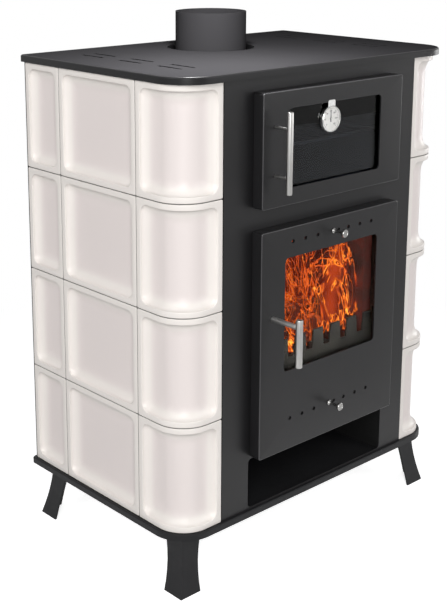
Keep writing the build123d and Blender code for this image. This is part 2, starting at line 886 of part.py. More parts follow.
with BuildPart() as oven_door_shell:
    add(
        door_shell(
            oven_door_low,
            oven_door_high,
            oven_window_low,
            oven_window_high,
            oven_window_width,
            hinge_levels[:2],
        ).part
    )
save(oven_door_shell, "oven_door_shell")

with BuildPart() as oven_door_frame:
    add(door_frame(oven_door_low, oven_door_high).part)
    inner_half = door_half - door_wall - frame_width
    strip_top = z0 + oven_door_high - door_wall - frame_width
    with BuildSketch(facing_front(glass_back)):
        with Locations((0, strip_top)):
            Rectangle(
                2 * inner_half,
                strip_top - z0 - oven_window_high + oven_band_height,
                align=(Align.CENTER, Align.MAX),
            )
        with Locations((0, z0 + oven_door_low + door_wall + frame_width)):
            Rectangle(
                2 * inner_half,
                oven_window_low - oven_door_low - door_wall - frame_width - frame_wall,
                align=(Align.CENTER, Align.MIN),
            )
    extrude(amount=-frame_wall)
    with Locations((catch_x, glass_back, z0 + catch_level)):
        Box(
            tongue_width,
            front_y + catch_setback + catch_depth - glass_back,
            tongue_thickness,
            align=(Align.CENTER, Align.MIN, Align.CENTER),
        )
    chamfer(
        oven_door_frame.faces().sort_by(Axis.Y)[-1].edges().filter_by(Axis.X), tongue_thickness / 4
    )
save(oven_door_frame, "oven_door_frame")
save(door_seal(oven_door_low, oven_door_high), "oven_door_seal")
save(pane(oven_window_low, oven_window_high, oven_window_width), "oven_glass")

with BuildPart() as oven_handle:
    bar_y = door_face - oven_bar_reach
    with Locations((handle_x, bar_y, z0 + (oven_bar_low + oven_bar_high) / 2)):
        Cylinder(oven_bar_radius, oven_bar_high - oven_bar_low)
    chamfer(oven_handle.edges().filter_by(GeomType.CIRCLE), bar_end_chamfer)
    with BuildSketch(facing_front(door_face)):
        with Locations((handle_x, z0 + oven_post_low), (handle_x, z0 + oven_post_high)):
            Circle(oven_post_radius)
    extrude(amount=oven_bar_reach)
save(oven_handle, "oven_handle")

with BuildPart() as fire_door_shell:
    add(
        door_shell(
            fire_door_low,
            fire_door_high,
            fire_window_low,
            fire_window_high,
            fire_window_width,
            hinge_levels[2:],
        ).part
    )
    stem_slot_width = 2 * (knob_stem_radius + air_slide_play)
    for level in (upper_air_level, lower_air_level):
        middle = z0 + level
        with BuildSketch(facing_front(door_face)):
            for side in (-1, 1):
                with Locations((side * (air_hole_first + air_hole_pitch), middle)):
                    with GridLocations(air_hole_pitch, 0, 3, 1):
                        Circle(air_hole_radius)
            with Locations((air_travel / 2, middle)):
                SlotOverall(air_travel + stem_slot_width, stem_slot_width)
        extrude(amount=-door_wall, mode=Mode.SUBTRACT)
        for edge in (-1, 1):
            shelf_z = middle + edge * (air_slide_height / 2 + air_slide_play)
            guide_depth = air_slide_thickness + 2 * air_slide_play
            with Locations((air_travel / 2, door_inside, shelf_z)):
                Box(
                    air_slide_length + air_travel,
                    guide_depth + guide_thickness,
                    guide_thickness,
                    align=(Align.CENTER, Align.MIN, Align.MIN if edge > 0 else Align.MAX),
                )
            lip_z = shelf_z + edge * guide_thickness
            with Locations((air_travel / 2, door_inside + guide_depth, lip_z)):
                Box(
                    air_slide_length + air_travel,
                    guide_thickness,
                    guide_thickness + guide_lip,
                    align=(Align.CENTER, Align.MIN, Align.MAX if edge > 0 else Align.MIN),
                )
    with BuildSketch(facing_front(door_inside)):
        with Locations((handle_x, z0 + fire_handle_level)):
            Circle(bush_radius)
    extrude(amount=-bush_length)
    with BuildSketch(facing_front(door_face)):
        with Locations((handle_x, z0 + fire_handle_level)):
            Circle(spindle_radius + running_fit)
    extrude(amount=-(door_wall + bush_length), mode=Mode.SUBTRACT)
save(fire_door_shell, "fire_door_shell")
save(door_frame(fire_door_low, fire_door_high), "fire_door_frame")
save(door_seal(fire_door_low, fire_door_high), "fire_door_seal")
save(pane(fire_window_low, fire_window_high, fire_window_width), "fire_glass")

with BuildPart() as glass_clips:
    glass_edge = fire_window_width / 2 + glass_overlap
    clip_rise = (fire_window_high - fire_window_low) / 4
    for side in (-1, 1):
        inner = side * (glass_edge - clip_bite)
        outer = side * (glass_edge + clip_bite)
        foot = side * (glass_edge + clip_clearance)
        for level in (fire_window_low + clip_rise, fire_window_high - clip_rise):
            with BuildSketch(Plane.XY.offset(z0 + level - clip_length / 2)):
                with BuildLine():
                    Polyline(
                        (inner, glass_back),
                        (foot, glass_back),
                        (foot, door_inside),
                        (outer, door_inside),
                        (outer, door_inside + clip_thickness),
                        (foot + side * clip_thickness, door_inside + clip_thickness),
                        (foot + side * clip_thickness, glass_back + clip_thickness),
                        (inner, glass_back + clip_thickness),
                        close=True,
                    )
                make_face()
            extrude(amount=clip_length)
save(glass_clips, "glass_clips")

# ---- fire door's turning handle ----------------------------------------------------------------------
with BuildPart() as fire_handle_bar:
    fire_bar_y = door_face - fire_handle_reach
    fire_bar_middle = z0 + fire_handle_level + (fire_bar_above - fire_bar_below) / 2
    with Locations((handle_x, fire_bar_y, fire_bar_middle)):
        Cylinder(fire_bar_radius, fire_bar_above + fire_bar_below)
    chamfer(fire_handle_bar.edges().filter_by(GeomType.CIRCLE), bar_end_chamfer)
    with BuildSketch(facing_front(front_y)):
        with Locations((handle_x, z0 + fire_handle_level)):
            Circle(spindle_radius)
    extrude(amount=fire_handle_reach + door_proud, mode=Mode.SUBTRACT)
save(fire_handle_bar, "fire_handle_bar")

with BuildPart() as fire_latch:
    latch_rear = front_y + latch_setback + latch_thickness
    with BuildSketch(facing_front(latch_rear)):
        with Locations((handle_x, z0 + fire_handle_level)):
            Circle(spindle_radius)
    extrude(amount=latch_rear - fire_bar_y)
    with BuildSketch(facing_front(latch_rear)):
        with Locations((handle_x, z0 + fire_handle_level)):
            Rectangle(latch_width, latch_length, align=(Align.CENTER, Align.MAX))
    extrude(amount=latch_thickness)
save(fire_latch, "fire_latch")


# ---- air slides --------------------------------------------------------------------------------------
def air_slide(level):
    """Perforated strip that slides behind the holes of the door."""
    middle = z0 + level
    with BuildPart() as slide:
        with BuildSketch(facing_front(door_inside + air_slide_play)):
            with Locations((0, middle)):
                Rectangle(air_slide_length, air_slide_height)
            for side in (-1, 1):
                with Locations((side * (air_hole_first + air_hole_pitch), middle)):
                    with GridLocations(air_hole_pitch, 0, 3, 1):
                        Circle(air_hole_radius, mode=Mode.SUBTRACT)
        extrude(amount=-air_slide_thickness)
    return slide


def air_knob(level):
    """Turned knob whose stem passes through the door and ends on the slide."""
    stem_back = door_inside + air_slide_play
    head_rear = door_face - knob_stem_length
    with BuildPart() as knob:
        with BuildSketch(facing_front(stem_back)):
            with Locations((0, z0 + level)):
                Circle(knob_stem_radius)
        extrude(amount=stem_back - head_rear)
        with BuildSketch(facing_front(head_rear)):
            with Locations((0, z0 + level)):
                Circle(knob_head_radius)
        extrude(amount=knob_head_length)
        chamfer(knob.faces().sort_by(Axis.Y)[0].edges(), knob_edge_chamfer)
    return knob


for name, level in (("upper", upper_air_level), ("lower", lower_air_level)):
    save(air_slide(level), f"{name}_air_slide")
    save(air_knob(level), f"{name}_air_knob")

# ---- oven thermometer --------------------------------------------------------------------------------
case_back = glass_front - case_back_gap
case_front = case_back - case_depth
dial_z = z0 + dial_level
with BuildPart() as thermometer_case:
    with BuildSketch(facing_front(case_back)):
        with Locations((dial_offset, dial_z)):
            Circle(case_radius)
    extrude(amount=case_depth)
    with BuildSketch(facing_front(case_front)):
        with Locations((dial_offset, dial_z)):
            Circle(case_radius - case_wall)
    extrude(amount=-(case_depth - case_wall), mode=Mode.SUBTRACT)
    with BuildSketch(facing_front(door_face)):
        with Locations((dial_offset, z0 + tab_top)):
            Rectangle(tab_width, tab_top - dial_level, align=(Align.CENTER, Align.MAX))
        with Locations((dial_offset, dial_z)):
            Circle(case_radius - case_wall / 2, mode=Mode.SUBTRACT)
    extrude(amount=tab_thickness)
save(thermometer_case, "thermometer_case")

with BuildPart() as thermometer_dial:
    dial_face = case_back - case_wall - dial_thickness
    with BuildSketch(facing_front(case_back - case_wall)):
        with Locations((dial_offset, dial_z)):
            Circle(case_radius - case_wall)
    extrude(amount=dial_thickness)
    with BuildSketch(facing_front(dial_face)):
        with Locations((dial_offset, dial_z)):
            Circle(needle_post_radius)
    extrude(amount=needle_post_length)
save(thermometer_dial, "thermometer_dial")

with BuildPart() as thermometer_needle:
    with BuildSketch(facing_front(dial_face - needle_thickness)):
        with Locations((dial_offset, dial_z)):
            Circle(needle_hub_radius)
            Polygon(
                (-needle_tail_width / 2, -needle_tail),
                (needle_tail_width / 2, -needle_tail),
                (needle_tip_width / 2, needle_length),
                (-needle_tip_width / 2, needle_length),
                align=None,
            )
            Circle(needle_post_radius + running_fit, mode=Mode.SUBTRACT)
    extrude(amount=needle_thickness)
save(thermometer_needle, "thermometer_needle")

with BuildPart() as thermometer_lens:
    with BuildSketch(facing_front(case_front + lens_thickness)):
        with Locations((dial_offset, dial_z)):
            Circle(case_radius - case_wall)
    extrude(amount=lens_thickness)
save(thermometer_lens, "thermometer_lens")
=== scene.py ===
"""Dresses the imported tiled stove: glazed tiles, satin paint, brushed steel, dark glass and a fire.

Laid out as a Blender add-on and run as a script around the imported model. Metres, +Z up, the doors
face -Y and the hinges are on the +X side.
"""
import math

import bmesh
import bpy
from bpy.props import FloatProperty, FloatVectorProperty, IntProperty, PointerProperty
from mathutils import Matrix, Vector, noise


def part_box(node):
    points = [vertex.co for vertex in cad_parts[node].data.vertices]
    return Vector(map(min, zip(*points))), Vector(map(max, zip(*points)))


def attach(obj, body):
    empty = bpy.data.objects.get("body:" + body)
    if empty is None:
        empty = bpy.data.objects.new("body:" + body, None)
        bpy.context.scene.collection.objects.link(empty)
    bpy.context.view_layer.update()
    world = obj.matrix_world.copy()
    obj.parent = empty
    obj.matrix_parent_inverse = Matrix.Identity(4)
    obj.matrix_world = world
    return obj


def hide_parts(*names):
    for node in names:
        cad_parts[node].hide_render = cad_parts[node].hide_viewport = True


bl_info = {
    "name": "Tiled Stove",
    "version": (1, 0, 0),
    "blender": (4, 5, 0),
    "location": "3D View > Sidebar > Stove",
    "description": "Builds the look of a tiled wood stove around its packed model",
    "category": "Object",
}

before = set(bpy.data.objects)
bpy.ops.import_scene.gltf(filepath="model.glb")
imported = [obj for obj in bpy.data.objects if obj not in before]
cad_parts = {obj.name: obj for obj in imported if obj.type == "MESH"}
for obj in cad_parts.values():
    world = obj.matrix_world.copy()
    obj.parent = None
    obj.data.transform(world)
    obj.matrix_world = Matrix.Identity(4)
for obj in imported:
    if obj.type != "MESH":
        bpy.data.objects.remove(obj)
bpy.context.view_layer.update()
MM = 0.001
FRONT_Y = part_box("front_panel")[0].y          # face of the front panel and of the tiles beside it
DOOR_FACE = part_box("fire_door_shell")[0].y
SQUARE_ON = 0.97                              # part of a normal above which a face looks along an axis
GLANCING = 0.15                               # and above which it still leans that way


# ---- sizes and colours that a user would change ------------
class TileSettings(bpy.types.PropertyGroup):
    """Shape and glaze of the tiles."""

    rim: FloatProperty(
        name="Rim", description="Width of the flat rim", default=12 * MM, unit="LENGTH"
    )
    depth: FloatProperty(
        name="Recess", description="Depth of the recessed field", default=15 * MM, unit="LENGTH"
    )
    cove: FloatProperty(
        name="Cove", description="Width of the hollow curve round the field", default=30 * MM, unit="LENGTH"
    )
    corner: FloatProperty(
        name="Recess corner", description="Corner radius of the recess", default=16 * MM, unit="LENGTH"
    )
    lip: FloatProperty(
        name="Lip", description="Rounding between the rim and the cove", default=1.6 * MM, unit="LENGTH"
    )
    edge: FloatProperty(
        name="Edge", description="Rounding of the tile's outer edge", default=1.6 * MM, unit="LENGTH"
    )
    bend: FloatProperty(
        name="Bend", description="Radius of the corner tiles' face", default=64 * MM, unit="LENGTH"
    )
    glaze: FloatVectorProperty(
        name="Glaze", description="Colour on the rims", default=(0.83, 0.785, 0.745), subtype="COLOR"
    )
    # the recess colour is partly pooled glaze and partly painted shade in the hollow
    pooled_glaze_and_shade: FloatVectorProperty(
        name="Pooled glaze and shade", description="Colour in the recess", default=(0.785, 0.715, 0.695),
        subtype="COLOR",
    )


class MetalSettings(bpy.types.PropertyGroup):
    """Paints and bare metals."""

    paint: FloatVectorProperty(
        name="Paint", description="Satin paint of the doors and the front", default=(0.0125, 0.0122, 0.0130),
        subtype="COLOR",
    )
    base_paint: FloatVectorProperty(
        name="Base paint", description="Paint of the base plate and legs", default=(0.012, 0.012, 0.013),
        subtype="COLOR",
    )
    paint_roughness: FloatProperty(
        name="Paint roughness", description="Roughness of the satin paint", default=0.36, min=0, max=1
    )
    steel: FloatVectorProperty(
        name="Steel", description="Brushed handles and knobs", default=(0.36, 0.355, 0.345), subtype="COLOR"
    )
    brush: FloatProperty(
        name="Brushing", description="Roughness of the brushed steel", default=0.3, min=0, max=1
    )


class FireSettings(bpy.types.PropertyGroup):
    """Logs and flames."""

    flames: IntProperty(name="Flames", description="Number of flame sheets", default=6, min=1, max=20)
    height: FloatProperty(
        name="Height", description="Height of the tallest flame", default=0.30, unit="LENGTH"
    )
    strength: FloatProperty(
        name="Strength", description="Brightness of the flames", default=1.35, min=0
    )


class StageSettings(bpy.types.PropertyGroup):
    """Floor, lamps and camera."""

    camera: FloatVectorProperty(
        name="Camera", description="Place of the camera", default=(-1.6949, -1.6902, 1.2787),
        subtype="TRANSLATION",
    )
    azimuth: FloatProperty(
        name="Azimuth", description="Viewing direction, from +Y towards +X", default=math.radians(41.89),
        subtype="ANGLE",
    )
    pitch: FloatProperty(
        name="Pitch", description="Viewing direction below the horizon", default=math.radians(12.76),
        subtype="ANGLE",
    )
    lens: FloatProperty(name="Lens", description="Focal length in mm", default=69.08, min=10)
    slide: FloatProperty(name="Slide", description="Sideways shift of the lens", default=0.0515)
    shift: FloatProperty(name="Shift", description="Vertical shift of the lens", default=-0.205)
    sky: FloatProperty(name="Sky", description="Level of the surrounding light", default=0.12, min=0)
    key: FloatProperty(
        name="Key", description="Power of the key lamp", default=82.0, min=0, subtype="POWER"
    )
    fill: FloatProperty(
        name="Fill", description="Power of the front and side lamps", default=48.0, min=0, subtype="POWER"
    )
    back: FloatProperty(
        name="Back", description="Power of the back lamp", default=5.0, min=0, subtype="POWER"
    )
    top: FloatProperty(
        name="Top", description="Power of the lamp over the plate", default=9.5, min=0, subtype="POWER"
    )
    floor: FloatVectorProperty(
        name="Floor", description="Colour of the floor", default=(0.9, 0.9, 0.9), subtype="COLOR"
    )


class StoveSettings(bpy.types.PropertyGroup):
    """All the settings of the stove."""

    tiles: PointerProperty(type=TileSettings, name="Tiles", description="Shape and glaze of the tiles")
    metal: PointerProperty(type=MetalSettings, name="Metal", description="Paints and bare metals")
    fire: PointerProperty(type=FireSettings, name="Fire", description="Logs and flames")
    stage: PointerProperty(type=StageSettings, name="Stage", description="Floor, lamps and camera")


# ---- materials ------------
COLOUR_MIX_INPUTS = (0, 6, 7)      # a Mix node's factor and its two colours, by number
COLOUR_MIX_OUTPUT = 2


class Finish:
    """One material's node tree, with short ways to add and join nodes."""

    def __init__(self, name):
        self.material = bpy.data.materials.new(name)
        self.material.use_nodes = True
        self.tree = self.material.node_tree
        self.shader = self.tree.nodes["Principled BSDF"]
        self.place = self.tree.nodes.new("ShaderNodeTexCoord").outputs["Object"]

    def feed(self, socket, value):
        """Joins an output to a socket, or sets the socket's own value."""
        if isinstance(value, bpy.types.NodeSocket):
            self.tree.links.new(value, socket)
        elif socket.type == "RGBA":
            socket.default_value = (*value, 1)
        else:
            socket.default_value = value

    def fill(self, node, **sockets):
        """Feeds a node's sockets by their names."""
        for key, value in sockets.items():
            name = key.replace("_", " ").title().replace("Ior", "IOR")
            self.feed(node.inputs[name], value)
        return node

    def set(self, **sockets):
        """Feeds the shader's sockets by their names."""
        self.fill(self.shader, **sockets)

    def add(self, kind, **sockets):
        """Adds a node and feeds its sockets by their names."""
        return self.fill(self.tree.nodes.new("ShaderNode" + kind), **sockets)

    def join(self, kind, *values):
        """Adds a node and feeds its sockets in their order."""
        node = self.tree.nodes.new("ShaderNode" + kind)
        for socket, value in zip(node.inputs, values):
            self.feed(socket, value)
        return node

    def stretch(self, scale, shift=(0, 0, 0)):
        """The place on the piece, scaled and shifted."""
        return self.add("Mapping", vector=self.place, scale=scale, location=shift).outputs["Vector"]

    def noise(self, scale, detail=3, roughness=0.5, distortion=0, at=None):
        """Noise over the piece, 0 to 1."""
        node = self.add("TexNoise", vector=at or self.place, scale=scale, detail=detail)
        return self.fill(node, roughness=roughness, distortion=distortion).outputs["Fac"]

    def strands(self, scale, distortion, at=None):
        """Slanting bands over the piece, 0 to 1."""
        node = self.add("TexWave", vector=at or self.place, scale=scale, distortion=distortion)
        node.bands_direction = "DIAGONAL"
        return node.outputs["Fac"]

    def cells(self, scale):
        """Distance to the nearest of scattered points."""
        return self.add("TexVoronoi", vector=self.place, scale=scale).outputs["Distance"]

    def attribute(self, name):
        """A number that the mesh carries at each vertex."""
        node = self.add("Attribute")
        node.attribute_name = name
        return node.outputs["Fac"]

    def math(self, operation, a, b=0.0, clamp=False):
        """Arithmetic on one or two values."""
        node = self.join("Math", a, b)
        node.operation = operation
        node.use_clamp = clamp
        return node.outputs[0]

    def span(self, value, low, high, to_low=0.0, to_high=1.0):
        """Maps a value from one range to another, smoothly and clamped."""
        node = self.add("MapRange", value=value, from_min=low, from_max=high, to_min=to_low, to_max=to_high)
        node.interpolation_type = "SMOOTHSTEP"
        return node.outputs["Result"]

    def mix(self, factor, a, b, blend="MIX"):
        """Mixes two colours."""
        node = self.add("Mix")
        node.data_type = "RGBA"
        node.blend_type = blend
        for number, value in zip(COLOUR_MIX_INPUTS, (factor, a, b)):
            self.feed(node.inputs[number], value)
        return node.outputs[COLOUR_MIX_OUTPUT]

    def ramp(self, value, *stops):
        """Colour ramp over (position, colour) stops."""
        node = self.join("ValToRGB", value)
        elements = node.color_ramp.elements
        while len(elements) < len(stops):
            elements.new(0.5)
        for element, (position, colour) in zip(elements, stops):
            element.position = position
            element.color = (*colour, 1)
        return node.outputs["Color"]

    def bump(self, height, strength, distance):
        """Gives the shader a bump from a height."""
        node = self.add("Bump", height=height, strength=strength, distance=distance)
        self.set(normal=node.outputs["Normal"])
        return self


def shade(colour, factor):
    """A colour made lighter or darker."""
    return tuple(min(1.0, c * factor) for c in colour)


def tile_glaze(rim, pooled_glaze_and_shade):
    """Cream glaze: thicker and a little darker in the recess, partly pooled glaze and partly painted shade,
    with a soft unevenness.
    """
    f = Finish("tile_glaze")
    recess = f.attribute("recess")
    clouds = f.noise(9, 3, 0.55)
    fine = f.noise(70, 2, 0.5)
    # darker in the recess: partly pooled glaze, partly painted shade
    tone = f.mix(f.span(recess, 0.75, 1.0), rim, pooled_glaze_and_shade)
    warm = f.mix(f.span(clouds, 0.35, 0.7, 0, 0.2), tone, shade(pooled_glaze_and_shade, 0.97))
    specks = f.span(f.cells(160), 0.02, 0.05, 0.985, 1.0)
    seam = f.span(f.attribute("seam"), 0.15, 0.6)
    colour = f.mix(seam, f.mix(1.0, warm, specks, "MULTIPLY"), (0.33, 0.315, 0.30))
    f.set(base_color=colour, roughness=f.span(fine, 0.2, 0.8, 0.32, 0.42), ior=1.45)
    return f.bump(f.math("ADD", f.math("MULTIPLY", clouds, 1.2), fine), 0.03, 0.001).material


def satin_paint(name, colour, roughness, grain=1.0, specular=0.5, clouds=1.0):
    """Heat-resistant paint: fine grain, soft clouds and faint rubbed spots."""
    f = Finish(name)
    soft = f.noise(5, 4, 0.6)
    grains = f.noise(1400, 2, 0.6)
    rubs = f.noise(38, 5, 0.7, 0.4)
    dark, light = shade(colour, 1 - 0.14 * clouds), shade(colour, 1 + 0.18 * clouds)
    tone = f.mix(f.span(soft, 0.3, 0.7), dark, light)
    tone = f.mix(f.span(rubs, 0.62, 0.8, 0, 0.22 * clouds), tone, shade(colour, 1.9))
    level = f.span(rubs, 0.3, 0.8, roughness + 0.04 * clouds, roughness - 0.07 * clouds)
    f.set(base_color=tone, roughness=level, specular_ior_level=specular)
    return f.bump(grains, 0.10 * grain, 0.0005).material


def hot_steel(name, colour, soot=(0.01, 0.009, 0.009)):
    """Steel plate inside the stove, darkened by heat and soot."""
    f = Finish(name)
    patches = f.noise(14, 5, 0.65)
    grain = f.noise(420, 3, 0.6)
    tone = f.mix(f.span(patches, 0.35, 0.65), colour, soot)
    f.set(base_color=tone, roughness=f.span(grain, 0.2, 0.8, 0.55, 0.8), metallic=0.15)
    return f.bump(grain, 0.25, 0.0006).material


def brushed_steel(name, colour, roughness, along, fineness=1500):
    """Steel with fine brush marks, drawn out along the axis whose scale is small."""
    f = Finish(name)
    marks = f.noise(fineness, 3, 0.7, at=f.stretch(along))
    broad = f.noise(40, 2)
    tone = f.mix(f.span(marks, 0.3, 0.7), shade(colour, 0.84), shade(colour, 1.1))
    marked = f.span(marks, 0.2, 0.8, roughness - 0.07, roughness + 0.08)
    level = f.math("ADD", marked, f.span(broad, 0.3, 0.7, 0, 0.05))
    f.set(base_color=tone, metallic=1.0, roughness=level)
    return f.bump(marks, 0.12, 0.0003).material


def firebrick(name, colour):
    """Pressed brick with sandy grain, worn patches and soot."""
    f = Finish(name)
    grain = f.noise(260, 5, 0.7)
    stains = f.noise(11, 5, 0.6)
    tone = f.mix(f.span(grain, 0.3, 0.7), shade(colour, 0.75), shade(colour, 1.15))
    tone = f.mix(f.span(stains, 0.42, 0.62, 0, 0.85), tone, (0.022, 0.005, 0.003))
    f.set(base_color=tone, roughness=f.span(grain, 0.2, 0.8, 0.8, 0.95))
    return f.bump(grain, 0.5, 0.0012).material


def cast_iron(name, colour):
    """Rough casting with ash in its pits."""
    f = Finish(name)
    pits = f.noise(240, 5, 0.7)
    ash = f.noise(30, 5, 0.7)
    tone = f.mix(f.span(ash, 0.5, 0.7, 0, 0.5), colour, (0.12, 0.11, 0.1))
    f.set(base_color=tone, roughness=f.span(pits, 0.2, 0.8, 0.6, 0.85), metallic=0.3)
    return f.bump(pits, 0.5, 0.001).material


def dark_glass(name, colour, refraction=1.45):
    """Glass-ceramic pane with a faint film of soot."""
    f = Finish(name)
    film = f.noise(16, 5, 0.6)
    f.set(base_color=f.mix(f.span(film, 0.35, 0.75), colour, shade(colour, 0.92)))
    f.set(roughness=f.span(film, 0.3, 0.8, 0.0, 0.02), transmission_weight=1.0, ior=refraction)
    return f.material


def rope_weave():
    """Glass-fibre rope: two crossed bands of strands."""
    f = Finish("rope_weave")
    weave = f.math("MAXIMUM", f.strands(130, 0.8), f.strands(130, 0.8, at=f.stretch((1, 1, -1))))
    dust = f.noise(60, 4)
    tone = f.mix(weave, (0.10, 0.095, 0.09), (0.33, 0.32, 0.30))
    f.set(base_color=f.mix(f.span(dust, 0.4, 0.8, 0, 0.5), tone, (0.08, 0.075, 0.07)))
    f.set(roughness=f.span(dust, 0.2, 0.8, 0.85, 0.98))
    return f.bump(weave, 0.8, 0.001).material


def enamel(name, colour):
    """Dull oven enamel, lighter low down and darker higher up: painted light and painted shade."""
    f = Finish(name)
    lit_up_to, dark_from = 0.76, 0.88            # heights above the floor
    height = f.add("SeparateXYZ", vector=f.place).outputs["Z"]
    # painted light below and painted shade above: 2.3 times the colour low down, 0.4 times higher up
    lit_low_down = f.span(height, lit_up_to, dark_from, 1.0, 0.0)
    tone = f.mix(lit_low_down, shade(colour, 0.4), shade(colour, 2.3))
    clouds = f.noise(20, 3)
    f.set(base_color=tone, roughness=f.span(clouds, 0.3, 0.7, 0.5, 0.6), specular_ior_level=0.0)
    return f.bump(clouds, 0.05, 0.0008).material


def bark(name):
    """Charred log: ridged bark with glowing patches."""
    f = Finish(name)
    ridges = f.noise(60, 6, 0.7, 0.6, at=f.stretch((1, 0.25, 1)))
    chars = f.noise(18, 5, 0.6)
    tone = f.mix(f.span(ridges, 0.35, 0.65), (0.018, 0.012, 0.009), (0.12, 0.07, 0.045))
    tone = f.mix(f.span(chars, 0.4, 0.6), tone, (0.012, 0.011, 0.01))
    glow = f.span(f.noise(46, 5, 0.7, 1.2), 0.52, 0.62)
    f.set(base_color=tone, roughness=f.span(ridges, 0.2, 0.8, 0.8, 0.95))
    f.set(emission_color=f.mix(glow, (0, 0, 0), (1.0, 0.16, 0.02)), emission_strength=0.7)
    return f.bump(ridges, 0.9, 0.004).material


def flame(strength):
    """Licking flame: deep orange veils with bright threads along their edges, clear between them."""
    f = Finish("flame")
    rise = f.attribute("rise")
    fade = f.attribute("fade")
    tall = f.stretch((1.0, 1.0, 0.5), shift=(3.3, 1.9, 0.6))
    level = f.math("ADD", f.noise(12, 3, 0.55, 1.0, at=tall), f.math("MULTIPLY", fade, 0.11))
    veil = f.span(level, 0.495, 0.52)
    feather = f.span(level, 0.51, 0.565, 1.0, 0.0)
    threads = f.noise(17, 2.5, 0.55, 1.6, at=tall)
    ridge = f.math("ABSOLUTE", f.math("SUBTRACT", threads, 0.5))
    core = f.span(ridge, 0.0, 0.016, 1.0, 0.0)
    hot = f.span(f.noise(7, 1.5, at=tall), 0.50, 0.66)
    heat = 0.20
    for part, weight in ((feather, 0.42), (core, 0.40), (hot, 0.32)):
        heat = f.math("ADD", heat, f.math("MULTIPLY", part, weight))
    gap = f.span(f.noise(5, 1.0, 0.5, 0.6, at=tall), 0.37, 0.43)
    heat = f.math("MULTIPLY", f.math("MULTIPLY", heat, veil), gap)
    heat = f.math("MULTIPLY", heat, f.math("SUBTRACT", 1.05, f.math("MULTIPLY", rise, 0.2)))
    heat = f.math("MULTIPLY", heat, f.span(fade, 0.0, 0.35), clamp=True)
    colour = f.ramp(
        heat,
        (0.0, (0.04, 0.002, 0.0)),
        (0.24, (0.24, 0.016, 0.003)),
        (0.46, (0.50, 0.055, 0.008)),
        (0.70, (1.0, 0.26, 0.018)),
        (0.95, (1.0, 0.55, 0.07)),
    )
    f.set(base_color=(0, 0, 0), roughness=1.0, specular_ior_level=0)
    f.set(emission_color=colour, emission_strength=strength, alpha=f.span(heat, 0.10, 0.6, 0.0, 0.92))
    return f.material


def dial_paint(name, colour):
    """Matt paint of the thermometer's dial, scale and needle."""
    f = Finish(name)
    grain = f.noise(900, 2)
    tone = f.mix(grain, shade(colour, 0.94), colour)
    f.set(base_color=tone, roughness=f.span(grain, 0.3, 0.7, 0.45, 0.6))
    return f.bump(grain, 0.04, 0.0002).material


def make_materials(settings):
    """All the finishes, by the names that the pieces use."""
    metal, tiles, fire = settings.metal, settings.tiles, settings.fire
    paint, base = tuple(metal.paint), tuple(metal.base_paint)
    steel, brush = tuple(metal.steel), metal.brush
    return {
        "glaze": tile_glaze(tuple(tiles.glaze), tuple(tiles.pooled_glaze_and_shade)),
        "paint": satin_paint("satin_paint", paint, metal.paint_roughness, specular=0.20, clouds=0.5),
        # rounded door edges: paint three times lighter, a painted highlight
        "door_edge_highlight": satin_paint("painted_edge_highlight", shade(paint, 3.0), 0.3, specular=0.45, clouds=0.3),
        # top face: paint 2.4 times lighter with no specular, a painted sheen; the plate's sides keep the
        # plain paint
        "top": satin_paint("top_plate_sheen_paint", shade(paint, 2.4), 0.75, specular=0.0, clouds=0.25),
        "rim": satin_paint("plate_rim_paint", paint, 0.34, specular=0.16, clouds=0.3),
        "base": satin_paint("base_paint", base, 0.5, specular=0.15),
        # flue collar: paint 2.5 times lighter with no specular, a painted sheen
        "flue": satin_paint("flue_paint", shade(paint, 2.5), 0.6, specular=0.0, clouds=0.2),
        "sheet": satin_paint("sheet_paint", shade(paint, 1.3), 0.6, 1.5),
        "niche": satin_paint("niche_paint", (0.006, 0.006, 0.006), 0.7, 1.5, 0.2),
        "chamber": hot_steel("chamber_steel", (0.045, 0.022, 0.016)),
        "guard": hot_steel("guard_steel", (0.035, 0.036, 0.033), (0.012, 0.012, 0.011)),
        # deep red: partly the brick's own colour and partly the painted red glow of the firelight
        "brick": firebrick("firebrick", (0.17, 0.020, 0.008)),
        "baffle": firebrick("baffle_board", (0.38, 0.31, 0.24)),
        "grate": cast_iron("grate_iron", (0.03, 0.03, 0.03)),
        "pan": brushed_steel("pan_sheet", (0.33, 0.33, 0.33), 0.45, (1, 0.02, 1)),
        "oven": enamel("oven_enamel", (0.006, 0.006, 0.007)),
        "shelf": brushed_steel("shelf_wire", (0.02, 0.02, 0.021), 0.5, (1, 0.2, 1), 30),
        "catch": brushed_steel("catch_steel", (0.4, 0.4, 0.4), 0.4, (0.05, 1, 1)),
        "frame": satin_paint("door_frame_paint", shade(paint, 0.7), 0.6, 1.4, 0.3),
        "band": satin_paint("oven_frame_paint", (0.10, 0.102, 0.112), 0.6, 1.4, 0.3),
        "rope": rope_weave(),
        "oven_glass": dark_glass("oven_glass", (0.56, 0.60, 0.67), 1.22),
        "fire_glass": dark_glass("fire_glass", (0.95, 0.92, 0.88), 1.1),
        "lens": dark_glass("lens_glass", (0.97, 0.97, 0.97)),
        "bar": brushed_steel("brushed_bar", steel, brush, (1, 1, 0.02)),
        "turned": brushed_steel("turned_steel", shade(steel, 0.75), brush - 0.06, (1, 0.02, 1)),
        "spindle": brushed_steel("spindle_steel", shade(steel, 1.5), brush + 0.05, (1, 0.02, 1)),
        "slide": hot_steel("slide_strip", (0.02, 0.019, 0.018)),
        "clip": hot_steel("clip_steel", (0.03, 0.028, 0.026)),
        "case": brushed_steel("case_steel", (0.72, 0.72, 0.71), 0.16, (1, 0.02, 1)),
        "dial": dial_paint("dial_white", (0.86, 0.85, 0.82)),
        "print": dial_paint("dial_print", (0.02, 0.02, 0.02)),
        "bark": bark("charred_bark"),
        "flame": flame(fire.strength),
    }


MATERIALS = {}


